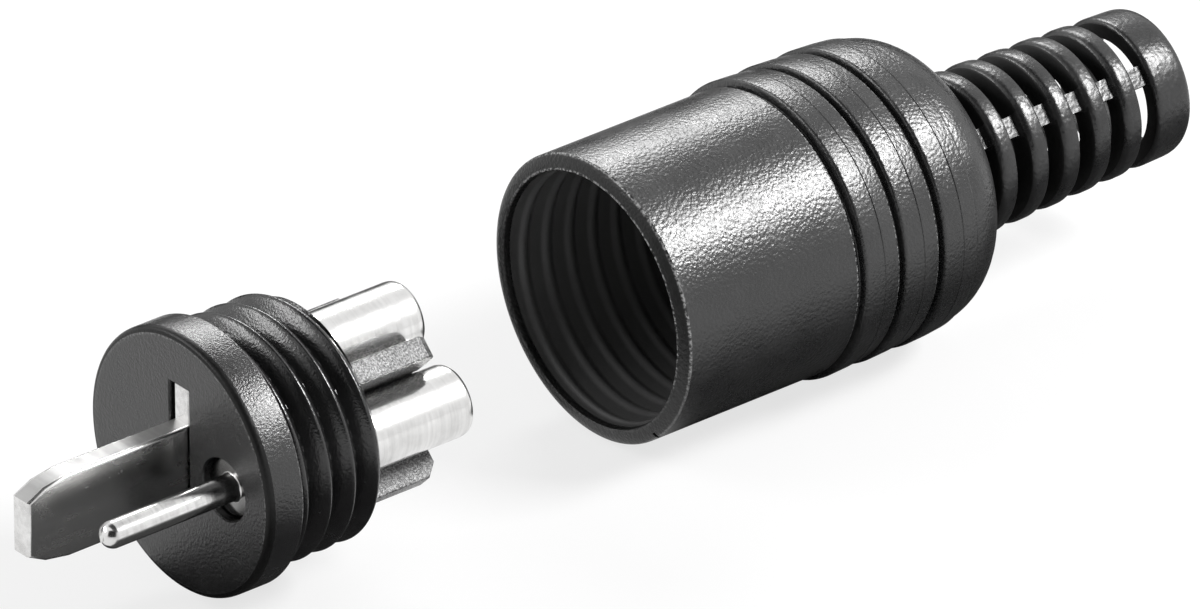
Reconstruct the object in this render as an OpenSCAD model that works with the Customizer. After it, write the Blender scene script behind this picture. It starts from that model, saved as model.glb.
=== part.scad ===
// Two-pole speaker plug, shown with its screw-on cover taken off the insert.
// The plug's axis is X: the contacts point to -X and the cable leaves at +X. Z is up.
// The origin is the middle of the flange's front face. Sizes are in millimetres.

/* [Insert] */
// diameter of the front flange
flange_diameter = 13.0; // [10:0.1:18]
// thickness of the front flange
flange_thickness = 2.0; // [1:0.1:4]
// broken edge round the front of the flange
flange_edge = 0.16; // [0.05:0.01:0.4]
// broken edge round the rear of the flange
flange_rear_edge = 0.08; // [0.02:0.01:0.3]
// step from the flange down to the threaded boss, which seats the cover
thread_step = 0.45; // [0.2:0.05:1.5]
// length of the threaded boss
boss_length = 5.2; // [3:0.1:9]
// lead-in cone at the rear end of the boss
boss_lead = 0.5; // [0.1:0.05:1]

/* [Partition] */
// distance of the two arms beside the pin's terminal inside the boss
near_arm_inset = 1.1; // [0.3:0.05:2.5]
// distance of the two arms on the other side inside the boss
far_arm_inset = 1.75; // [0.3:0.05:2.5]
// thickness of the partition arms
arm_thickness = 1.1; // [0.6:0.05:2]
// length of the arms behind the threaded boss
arm_length = 4.8; // [2:0.1:9]
// sloped corner at the outer end of each arm
arm_corner = 0.6; // [0.1:0.05:1.2]

/* [Blade] */
// length of the blade in front of the flange
blade_length = 9.1; // [5:0.1:15]
// width of the blade
blade_width = 4.2; // [2:0.1:6]
// thickness of the blade
blade_thickness = 1.2; // [0.5:0.05:2]
// width of the flat end of the blade's tip
blade_tip_width = 2.8; // [1:0.1:4]
// length of the tapered tip
blade_tip_length = 2.3; // [0.5:0.1:4]
// pressed bevel along the blade's edges
blade_bevel = 0.18; // [0.05:0.01:0.4]
// height of the blade's inner shoulder above the middle of its terminal
shoulder_rise = 0.85; // [0.3:0.05:1.3]
// depth of the shoulder below the flange's front face
shoulder_depth = 0.15; // [0.1:0.05:1.5]
// length of the shoulder that sits in the terminal
blade_seat = 2.4; // [1:0.1:4]

/* [Pin] */
// length of the pin in front of the flange
pin_length = 7.0; // [4:0.1:12]
// diameter of the pin
pin_diameter = 1.3; // [0.6:0.05:2]
// sideways distance of the pin from the plug's axis
pin_offset = 3.2; // [2:0.05:4.5]
// step from the terminal down to the pin's collar
collar_step = 0.3; // [0.1:0.05:0.8]
// depth of the collar below the flange's front face
collar_depth = 0.45; // [0.2:0.05:1.5]

/* [Terminals] */
// wall of the two wire terminals
terminal_wall = 0.6; // [0.3:0.05:1]
// height of the blade's terminal above the plug's axis
terminal_height = 3.05; // [2:0.05:4.5]
// distance from the flange's rear face to the seat of the terminals
terminal_seat = 1.0; // [0.3:0.1:3]
// length of the blade's terminal
terminal_length = 10.0; // [6:0.1:16]
// how much longer the pin's terminal is
pin_terminal_extra = 0.2; // [0:0.05:2]
// diameter of the wire holes
wire_hole_diameter = 2.3; // [1:0.05:3]
// depth of the wire holes
wire_hole_depth = 5.0; // [2:0.1:8]
// broken edge at the rear of the terminals
terminal_edge = 0.25; // [0.05:0.05:0.5]

/* [Cover] */
// gap between the flange's rear face and the mouth of the cover
cover_gap = 21.95; // [0.05:0.05:40]
// wall of the plain part of the cover
cover_wall = 0.84; // [0.5:0.02:2]
// length of the plain part, from the mouth to the first raised band
cover_plain_length = 10.25; // [5:0.05:20]
// broken outer edge of the mouth
mouth_edge = 0.18; // [0.05:0.01:0.5]
// inside cone at the mouth
mouth_lead = 0.08; // [0.02:0.02:0.3]
// wall of the dome behind the bands
dome_wall = 1.2; // [0.5:0.05:2]

/* [Bands] */
// number of raised bands
band_count = 3; // [1:1:5]
// distance from one raised band to the next
band_pitch = 2.36; // [1:0.02:5]
// height of the bands above the plain part
band_height = 0.27; // [0.1:0.01:0.8]
// fall of each band from its front to its rear
band_fall = 0.14; // [0:0.01:0.4]
// depth of the groove in front of each band, below the plain part
groove_depth = 0.2; // [0.05:0.01:0.5]
// width of the groove
groove_width = 0.22; // [0.1:0.02:0.6]
// step down from the last band to the dome
dome_step = 0.12; // [0.02:0.01:0.5]
// length of the dome between the last band and the bend relief
dome_length = 2.8; // [1.5:0.1:8]

/* [Bend relief] */
// wall of the bend relief at the dome
relief_root_wall = 1.23; // [0.6:0.01:2.5]
// wall of the bend relief at its end
relief_end_wall = 0.83; // [0.5:0.01:2]
// diameter of the cable bore
cable_bore_diameter = 5.6; // [2:0.1:7]
// number of slotted gaps between the rings
gap_count = 6; // [2:1:10]
// width of the rings between the gaps
ring_width = 0.875; // [0.4:0.005:3]
// width of the gaps
gap_width = 1.07; // [0.4:0.01:2]
// plain length between the dome and the first gap
gap_start = 0.42; // [0.05:0.01:2]
// width of the two webs left in each gap
web_width = 1.0; // [0.4:0.05:3]
// depth of the webs below the rings
web_depth = 0.34; // [0.02:0.02:0.6]
// direction of the webs, turned about the plug's axis from +Y
web_angle = 140.5; // [0:0.5:180]
// length of the plain end behind the last gap
relief_end_length = 2.13; // [0.8:0.01:6]
// rounding of the plain end
relief_end_round = 0.6; // [0.1:0.05:1]
// length of the inside cone at the cable outlet
outlet_lead = 0.4; // [0.1:0.05:1]

/* [Fits] */
// running clearance, per side, between the boss and the cover's bore
bore_clearance = 0.15; // [0.05:0.01:0.5]
// clearance, per side, of the contacts in the insert's round holes
hole_clearance = 0.05; // [0.01:0.01:0.2]
// clearance, per side, of the blade in the insert's slot
slot_clearance = 0.09; // [0.01:0.01:0.2]
// clearance, per side, of the blade's shoulder in its terminal
seat_clearance = 0.02; // [0.01:0.01:0.1]

/* [Hidden] */
$fn = 96;

flange_r = flange_diameter / 2;
boss_r = flange_r - thread_step;
boss_end = flange_thickness + boss_length;
arm_end = boss_end + arm_length;
near_arm_reach = boss_r - near_arm_inset;
far_arm_reach = boss_r - far_arm_inset;
wire_hole_r = wire_hole_diameter / 2;
terminal_r = wire_hole_r + terminal_wall;
terminal_start = flange_thickness + terminal_seat;
pin_r = pin_diameter / 2;
collar_r = terminal_r - collar_step;
blade_shoulder = terminal_height + shoulder_rise;
shoulder_end = terminal_start + blade_seat;
cover_x = flange_thickness + cover_gap;
bore_r = boss_r + bore_clearance;
cover_r = bore_r + cover_wall;
cable_r = cable_bore_diameter / 2;
groove_r = cover_r - groove_depth;
band_r = cover_r + band_height;
band_end_r = band_r - band_fall;
bands_end = cover_plain_length + band_count * band_pitch;
dome_end = bands_end + dome_length;
relief_root_r = cable_r + relief_root_wall;
relief_end_r = cable_r + relief_end_wall;
gap_pitch = gap_width + ring_width;
relief_length = gap_start + gap_count * gap_pitch - ring_width + relief_end_length;
end_round = min(relief_end_round, 0.8 * relief_end_wall);
cover_length = dome_end + relief_length;
// a margin that carries cutting shapes past the faces they cut
over = 1;

// turns a shape that was made along Z so that it lies along the plug's axis
module along_axis() {
    rotate([0, 90, 0])
        children();
}

// one arm of the partition, at an angle about the plug's axis
module partition_arm(angle, reach) {
    intersection() {
        rotate([angle, 0, 0])
            translate([boss_end - over, 0, -arm_thickness / 2])
                cube([arm_length + over, reach + over, arm_thickness]);
        along_axis()
            rotate_extrude()
                polygon([
                    [0, boss_end - over],
                    [reach, boss_end - over],
                    [reach, arm_end - arm_corner],
                    [reach - arm_corner, arm_end],
                    [0, arm_end]
                ]);
    }
}

// flange and threaded boss, turned as one
module insert_turned() {
    along_axis()
        rotate_extrude()
            polygon([
                [0, 0],
                [flange_r - flange_edge, 0],
                [flange_r, flange_edge],
                [flange_r, flange_thickness - flange_rear_edge],
                [flange_r - flange_rear_edge, flange_thickness],
                [boss_r, flange_thickness],
                [boss_r, boss_end - boss_lead],
                [boss_r - boss_lead, boss_end],
                [0, boss_end]
            ]);
}

// room in the insert for the pin, its collar and its terminal
module pin_room() {
    translate([-over, -pin_offset, 0])
        along_axis()
            cylinder(r = collar_r + hole_clearance, h = terminal_start + over);
    translate([terminal_start - hole_clearance, -pin_offset, 0])
        along_axis()
            cylinder(r = terminal_r + hole_clearance, h = terminal_length + pin_terminal_extra + over);
}

// room in the insert for the blade, its shoulder and its terminal
module blade_room() {
    slot_half = blade_thickness / 2 + slot_clearance;
    slot_low = -blade_width / 2 - slot_clearance;
    slot_high = blade_shoulder + slot_clearance;
    translate([-over, -slot_half, slot_low])
        cube([shoulder_end + slot_clearance + over, 2 * slot_half, slot_high - slot_low]);
    translate([terminal_start - hole_clearance, 0, terminal_height])
        along_axis()
            cylinder(r = terminal_r + hole_clearance, h = terminal_length + over);
}

// moulded insulator: flange, boss and rear partition
module insert_body() {
    color([0.10, 0.10, 0.11])
        difference() {
            union() {
                insert_turned();
                partition_arm(135, near_arm_reach);
                partition_arm(225, near_arm_reach);
                partition_arm(45, far_arm_reach);
                partition_arm(315, far_arm_reach);
            }
            pin_room();
            blade_room();
        }
}

// outline of the blade seen from the side, with its tapered tip
module blade_outline() {
    half = blade_width / 2;
    tip = blade_tip_width / 2;
    mid = tip + (half - tip) * 0.68;
    polygon([
        [-blade_length, -tip],
        [-blade_length + blade_tip_length * 0.42, -mid],
        [-blade_length + blade_tip_length, -half],
        [shoulder_end, -half],
        [shoulder_end, half],
        [-blade_length + blade_tip_length, half],
        [-blade_length + blade_tip_length * 0.42, mid],
        [-blade_length, tip]
    ]);
}

// cross-section of the blade with its pressed bevels
module blade_section() {
    half = blade_width / 2;
    side = blade_thickness / 2;
    polygon([
        [-side, -half + blade_bevel],
        [-side + blade_bevel, -half],
        [side - blade_bevel, -half],
        [side, -half + blade_bevel],
        [side, half - blade_bevel],
        [side - blade_bevel, half],
        [-side + blade_bevel, half],
        [-side, half - blade_bevel]
    ]);
}

// stamped flat contact with the inner shoulder that reaches its terminal
module blade() {
    color([0.78, 0.78, 0.76])
        union() {
            intersection() {
                translate([0, blade_thickness / 2, 0])
                    rotate([90, 0, 0])
                        linear_extrude(blade_thickness)
                            blade_outline();
                translate([-blade_length - over, 0, 0])
                    rotate([90, 0, 90])
                        linear_extrude(blade_length + shoulder_end + 2 * over)
                            blade_section();
            }
            translate([shoulder_depth, -blade_thickness / 2, 0])
                cube([shoulder_end - shoulder_depth, blade_thickness, blade_shoulder]);
        }
}

// plain round terminal barrel with its wire hole, starting at the terminal seat
module terminal_barrel(length) {
    translate([terminal_start, 0, 0])
        along_axis()
            rotate_extrude()
                polygon([
                    [0, 0],
                    [terminal_r, 0],
                    [terminal_r, length - terminal_edge],
                    [terminal_r - terminal_edge, length],
                    [wire_hole_r, length],
                    [wire_hole_r, length - wire_hole_depth],
                    [0, length - wire_hole_depth - wire_hole_r * 0.6]
                ]);
}

// terminal of the blade, slotted at the front for the blade's shoulder
module blade_terminal() {
    half = blade_thickness / 2 + seat_clearance;
    slot_low = terminal_height - terminal_r - over;
    color([0.80, 0.80, 0.78])
        difference() {
            translate([0, 0, terminal_height])
                terminal_barrel(terminal_length);
            translate([terminal_start - over, -half, slot_low])
                cube([blade_seat + seat_clearance + over, 2 * half, blade_shoulder + seat_clearance - slot_low]);
        }
}

// half outline of the pin and its collar, with the round tip
module pin_outline() {
    intersection() {
        union() {
            translate([0, pin_r - pin_length])
                circle(r = pin_r);
            translate([0, pin_r - pin_length])
                square([pin_r, pin_length - pin_r + collar_depth + over / 2]);
            translate([0, collar_depth])
                square([collar_r, terminal_start - collar_depth + over / 2]);
        }
        translate([0, -pin_length - over])
            square([flange_diameter, pin_length + terminal_start + 2 * over]);
    }
}

// turned round contact in one with its collar and terminal
module pin_contact() {
    color([0.80, 0.80, 0.78])
        translate([0, -pin_offset, 0])
            union() {
                along_axis()
                    rotate_extrude()
                        pin_outline();
                terminal_barrel(terminal_length + pin_terminal_extra);
            }
}

// outer line of one raised band, from its groove to its rear edge
function band_line(k) =
    let (u = cover_plain_length + k * band_pitch)
    [
        [groove_r, u],
        [groove_r, u + groove_width],
        [band_r - 0.08, u + groove_width + 0.1],
        [band_r, u + groove_width + 0.25],
        [band_r - band_fall * 0.15, u + band_pitch * 0.55],
        [band_end_r, u + band_pitch - 0.08]
    ];

// a quarter of an ellipse from the last band to the bend relief, or its inside
function dome_line(r0, u0, r1, u1) = [
    for (a = [0:10:90])
        [r1 + (r0 - r1) * cos(a), u0 + (u1 - u0) * sin(a)]
];

// half outline of the cover with its moulded-on bend relief
module cover_outline() {
    outer = concat(
        [
            [cover_r - mouth_edge, 0],
            [cover_r, mouth_edge],
            [cover_r, cover_plain_length - 0.08]
        ],
        [for (k = [0:band_count - 1]) each band_line(k)],
        dome_line(band_end_r - dome_step, bands_end, relief_root_r, dome_end),
        [
            [relief_end_r, cover_length - end_round],
            [relief_end_r - end_round * 0.13, cover_length - end_round * 0.5],
            [relief_end_r - end_round * 0.5, cover_length - end_round * 0.13],
            [relief_end_r - end_round, cover_length]
        ]
    );
    inner = concat(
        [
            [bore_r + mouth_lead, 0],
            [bore_r, mouth_lead]
        ],
        dome_line(bore_r, bands_end - dome_wall * 0.4, cable_r, dome_end - dome_wall),
        [
            [cable_r, cover_length - outlet_lead],
            [cable_r + outlet_lead * 0.35, cover_length]
        ]
    );
    polygon(concat(outer, [for (i = [len(inner) - 1:-1:0]) inner[i]]));
}

// one gap of the bend relief: a shallow ring cut, and a through cut that leaves two webs
module relief_gap(u, ring_r) {
    translate([u, 0, 0])
        difference() {
            along_axis()
                cylinder(r = ring_r + over, h = gap_width);
            rotate([web_angle, 0, 0])
                intersection() {
                    translate([-over, -ring_r - over, -web_width / 2])
                        cube([gap_width + 2 * over, 2 * (ring_r + over), web_width]);
                    translate([-over, 0, 0])
                        along_axis()
                            cylinder(r = ring_r - web_depth, h = gap_width + 2 * over);
                }
        }
}

// screw-on cover with raised bands, dome and slotted bend relief
module cover() {
    color([0.13, 0.13, 0.14])
        translate([cover_x, 0, 0])
            difference() {
                along_axis()
                    rotate_extrude()
                        cover_outline();
                for (k = [0:gap_count - 1]) {
                    u = dome_end + gap_start + k * gap_pitch;
                    t = (u + gap_width / 2 - dome_end) / relief_length;
                    relief_gap(u, relief_root_r + (relief_end_r - relief_root_r) * t);
                }
            }
}

insert_body();
blade();
blade_terminal();
pin_contact();
cover();
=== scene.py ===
"""Looks of a two-pole speaker plug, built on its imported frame.

The plug lies along X: its contacts point to -X and the cable leaves at +X. Z is up, and the origin is the
middle of the flange's front face. Sizes in the classes are millimetres, and meshes are in metres.
"""

import logging
import math
from dataclasses import dataclass, field
from enum import Enum
from typing import Callable, Sequence, Union

import bmesh
import bpy
from mathutils import Matrix, Vector


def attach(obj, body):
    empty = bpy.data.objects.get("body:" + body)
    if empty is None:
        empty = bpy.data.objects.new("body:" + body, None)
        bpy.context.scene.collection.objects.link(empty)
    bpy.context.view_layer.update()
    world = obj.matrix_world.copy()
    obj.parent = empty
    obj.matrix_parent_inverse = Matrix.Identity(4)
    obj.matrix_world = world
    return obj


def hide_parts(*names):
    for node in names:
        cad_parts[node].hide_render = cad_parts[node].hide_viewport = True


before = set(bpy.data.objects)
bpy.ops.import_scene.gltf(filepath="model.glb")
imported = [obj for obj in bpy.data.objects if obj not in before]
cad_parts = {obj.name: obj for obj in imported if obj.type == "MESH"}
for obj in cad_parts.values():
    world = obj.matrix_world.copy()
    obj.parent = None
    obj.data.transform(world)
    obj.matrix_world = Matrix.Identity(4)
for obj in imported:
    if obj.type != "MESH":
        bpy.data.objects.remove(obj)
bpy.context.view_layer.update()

LOG = logging.getLogger("speaker_plug")
MM = 0.001
PHOTO_WIDTH = 1200
SENSOR_WIDTH = 36.0
WHITE = (1.0, 1.0, 1.0, 1.0)

Point = tuple[float, float]
Place = tuple[float, float, float]
Colour = tuple[float, float, float]
Obj = bpy.types.Object
Material = bpy.types.Material
Tree = bpy.types.NodeTree
Node = bpy.types.Node
Socket = bpy.types.NodeSocket
Key = Union[str, int]
Feed = Union["Value", float, int, bool, Sequence[float]]


class Cut(Enum):
    """What a boolean does with its tool."""

    JOIN = "UNION"
    REMOVE = "DIFFERENCE"


class Lay(Enum):
    """Way of a metal surface's fine lines: how fast they change along the axis and across it."""

    TURNED = (1.0, 0.06)
    DRAWN = (0.05, 1.0)


class Sort(Enum):
    """Sort of a node group's socket: Blender's name for the socket and for its unit."""

    GEOMETRY = ("NodeSocketGeometry", "")
    LENGTH = ("NodeSocketFloat", "DISTANCE")
    VALUE = ("NodeSocketFloat", "")
    COUNT = ("NodeSocketInt", "")
    MATERIAL = ("NodeSocketMaterial", "")


class Zone(Enum):
    """Region of the plug that has a finish of its own."""

    FLANGE = "front and side of the flange"
    THREAD = "threaded boss"
    EDGE = "rounded front edge of the flange"
    PARTITION = "rear partition"
    COVER = "grained outside of the cover"
    LIP = "rim of the cover's mouth"
    BORE = "inside of the cover"
    OUTLET = "cable bore and sides of the rings"
    RELIEF = "outside of the bend relief"
    BLADE = "flat sides of the blade"
    CUT_EDGE = "cut edges of the blade"
    CONTACT = "turned contacts"
    COLLAR = "front of the pin's collar"


# Outlines and meshes

SIDE_SHARE = 0.45  # most of a side that one rounding may take
ON_AXIS = 1e-6  # radius under which a point lies on the axis, in millimetres
LEVEL = 1e-9  # difference in height that counts as none, in metres
FLAT_WEIGHT = 80  # how far large faces turn the normals beside them
HAIR = 0.01  # slack for telling faces apart by their place, in millimetres


@dataclass(frozen=True)
class Corner:
    """A corner of an outline.

    Attributes:
        x: Place along the plug's axis.
        r: Distance from the axis, or height in a flat outline.
        soft: How far the rounding reaches from the corner along each side.
    """

    x: float
    r: float
    soft: float = 0.0


def soft_outline(corners: Sequence[Corner], steps: int = 4, closed: bool = False) -> list[Point]:
    """Rounds the corners of an outline.

    Args:
        corners: The corners in order.
        steps: Straight pieces in each rounding.
        closed: True if the last corner joins the first one.

    Returns:
        The points of the rounded outline.
    """
    points: list[Point] = []
    count = len(corners)
    for i, corner in enumerate(corners):
        here = Vector((corner.x, corner.r))
        if corner.soft <= 0 or (not closed and i in (0, count - 1)):
            points.append((corner.x, corner.r))
            continue
        before, after = corners[i - 1], corners[(i + 1) % count]
        back = Vector((before.x, before.r)) - here
        ahead = Vector((after.x, after.r)) - here
        start = here + back.normalized() * min(corner.soft, back.length * SIDE_SHARE)
        end = here + ahead.normalized() * min(corner.soft, ahead.length * SIDE_SHARE)
        for k in range(steps + 1):
            t = k / steps
            p = start * (1 - t) ** 2 + here * (2 * t * (1 - t)) + end * t ** 2
            points.append((p.x, p.y))
    return points


def even_rows(start: float, end: float, r: float, step: float) -> list[Point]:
    """Gives evenly spaced outline points along a cylinder.

    Args:
        start: First place along the axis.
        end: Last place along the axis.
        r: Radius of the cylinder.
        step: Largest distance between two points.

    Returns:
        The points, with both ends.
    """
    count = max(1, math.ceil(abs(end - start) / step))
    return [(start + (end - start) * k / count, r) for k in range(count + 1)]


def link(name: str, data: bpy.types.ID) -> Obj:
    """Puts a mesh, a lamp or a camera in the scene.

    Args:
        name: Name of the object.
        data: The mesh, lamp or camera.

    Returns:
        The object, at the origin.
    """
    obj = bpy.data.objects.new(name, data)
    bpy.context.scene.collection.objects.link(obj)
    return obj


def mesh_object(name: str, points: Sequence[Sequence[float]], faces: Sequence[Sequence[int]]) -> Obj:
    """Makes an object from points in millimetres, with its faces turned outwards.

    Args:
        name: Name of the object and its mesh.
        points: Corner points.
        faces: Point numbers of each face.

    Returns:
        The new object.
    """
    mesh = bpy.data.meshes.new(name)
    mesh.from_pydata([Vector(p) * MM for p in points], [], faces)
    work = bmesh.new()
    work.from_mesh(mesh)
    bmesh.ops.recalc_face_normals(work, faces=work.faces)
    work.to_mesh(mesh)
    work.free()
    mesh.validate()
    return link(name, mesh)


def turned(name: str, outline: Sequence[Point], segments: int, centre: Point = (0.0, 0.0),
           ring: bool = False) -> Obj:
    """Turns an outline about an axis that runs along X.

    Args:
        name: Name of the object.
        outline: Places along the axis and radii, in millimetres.
        segments: Flat pieces in a full turn.
        centre: Y and Z of the axis, in millimetres.
        ring: True if the last point of the outline joins the first one.

    Returns:
        The turned object.
    """
    points: list[Place] = []
    rows: list[list[int]] = []
    for x, r in outline:
        if r < ON_AXIS:
            rows.append([len(points)])
            points.append((x, centre[0], centre[1]))
            continue
        rows.append(list(range(len(points), len(points) + segments)))
        for k in range(segments):
            turn = 2 * math.pi * k / segments
            points.append((x, centre[0] + r * math.cos(turn), centre[1] + r * math.sin(turn)))
    faces: list[list[int]] = []
    pairs = list(zip(rows, rows[1:])) + ([(rows[-1], rows[0])] if ring else [])
    for one, two in pairs:
        for k in range(segments):
            n = (k + 1) % segments
            face = [one[k % len(one)], two[k % len(two)], two[n % len(two)], one[n % len(one)]]
            clean = [v for i, v in enumerate(face) if v != face[i - 1]]
            if len(clean) > 2:
                faces.append(clean)
    return mesh_object(name, points, faces)


def lofted_box(name: str, sections: Sequence[tuple[float, float, float, float, float]]) -> Obj:
    """Makes a straight-sided bar from rectangles that follow each other along X.

    Args:
        name: Name of the object.
        sections: For each rectangle its X, lowest Y, highest Y, lowest Z and highest Z.

    Returns:
        The bar.
    """
    points: list[Place] = []
    faces: list[list[int]] = [[0, 1, 2, 3]]
    for i, (x, y0, y1, z0, z1) in enumerate(sections):
        points += [(x, y0, z0), (x, y1, z0), (x, y1, z1), (x, y0, z1)]
        if i:
            a, b = 4 * (i - 1), 4 * i
            faces += [[a + k, b + k, b + (k + 1) % 4, a + (k + 1) % 4] for k in range(4)]
    last = 4 * (len(sections) - 1)
    faces.append([last + 3, last + 2, last + 1, last])
    return mesh_object(name, points, faces)


def soft_plate(name: str, outline: Sequence[Point], thickness: float, edge: float, steps: int) -> Obj:
    """Makes a flat plate about the XZ plane with rounded edges on both faces.

    Args:
        name: Name of the object.
        outline: X and Z of the corners, in millimetres.
        thickness: Size across Y.
        edge: Reach of the rounding.
        steps: Straight pieces in the rounding.

    Returns:
        The plate.
    """
    count = len(outline)
    points = [(x, side * thickness / 2, z) for side in (-1, 1) for x, z in outline]
    faces = [list(range(count)), list(range(2 * count - 1, count - 1, -1))]
    faces += [[k, k + count, (k + 1) % count + count, (k + 1) % count] for k in range(count)]
    obj = mesh_object(name, points, faces)
    work = bmesh.new()
    work.from_mesh(obj.data)
    rims = [e for e in work.edges if abs(e.verts[0].co.y - e.verts[1].co.y) < LEVEL]
    bmesh.ops.bevel(work, geom=rims, offset=edge * MM, segments=steps, profile=0.5, affect="EDGES")
    bmesh.ops.recalc_face_normals(work, faces=work.faces)
    work.to_mesh(obj.data)
    work.free()
    return obj


def settle(obj: Obj) -> None:
    """Turns an object with modifiers into a plain mesh object.

    Args:
        obj: The object.
    """
    bpy.context.view_layer.update()
    depsgraph = bpy.context.evaluated_depsgraph_get()
    made = bpy.data.meshes.new_from_object(obj.evaluated_get(depsgraph), preserve_all_data_layers=True,
                                           depsgraph=depsgraph)
    old = obj.data
    obj.modifiers.clear()
    obj.data = made
    made.name = obj.name
    bpy.data.meshes.remove(old)


def combine(target: Obj, tool: Obj, way: Cut) -> None:
    """Joins a tool to a piece or takes it out of the piece, and removes the tool.

    Args:
        target: The piece that stays.
        tool: The solid that is joined or taken out.
        way: Which of the two it is.
    """
    step = target.modifiers.new("Combine", "BOOLEAN")
    step.operation, step.object, step.solver = way.value, tool, "MANIFOLD"
    settle(target)
    bpy.data.objects.remove(tool)


def shade(obj: Obj, angle: float = 34.0) -> None:
    """Smooths a piece and keeps its flat faces flat.

    Args:
        obj: The piece.
        angle: Angle in degrees from which an edge stays sharp.
    """
    obj.data.shade_smooth()
    obj.data.set_sharp_from_angle(angle=math.radians(angle))
    step = obj.modifiers.new("Flat faces", "WEIGHTED_NORMAL")
    step.keep_sharp, step.weight = True, FLAT_WEIGHT
    settle(obj)


def dress(obj: Obj, finishes: dict[Zone, Material], zones: Sequence[Zone],
          choose: Callable[[Vector], Zone]) -> None:
    """Gives each face of a piece its material.

    Args:
        obj: The piece.
        finishes: Material of each zone of the plug.
        zones: The piece's own zones.
        choose: Takes the middle of a face, in millimetres, and returns its zone.
    """
    obj.data.materials.clear()
    for zone in zones:
        obj.data.materials.append(finishes[zone])
    for face in obj.data.polygons:
        face.material_index = zones.index(choose(face.center / MM))


# Node trees

ROW_SLACK = 1e-7  # keeps the thread's end rows in reach in spite of rounding, in metres


class Value:
    """A node's output, with Python's signs for Blender's math nodes."""

    def __init__(self, make: "TreeMaker", socket: Socket) -> None:
        """Wraps a socket of the maker's tree."""
        self.make, self.socket = make, socket

    def __add__(self, other: Feed) -> "Value":
        """Adds another value."""
        return self.make.math("ADD", self, other)

    def __sub__(self, other: Feed) -> "Value":
        """Takes another value away."""
        return self.make.math("SUBTRACT", self, other)

    def __rsub__(self, other: Feed) -> "Value":
        """Takes this value from another one."""
        return self.make.math("SUBTRACT", other, self)

    def __mul__(self, other: Feed) -> "Value":
        """Multiplies by another value."""
        return self.make.math("MULTIPLY", self, other)

    def __truediv__(self, other: Feed) -> "Value":
        """Divides by another value."""
        return self.make.math("DIVIDE", self, other)

    def __rtruediv__(self, other: Feed) -> "Value":
        """Divides another value by this one."""
        return self.make.math("DIVIDE", other, self)


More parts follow.
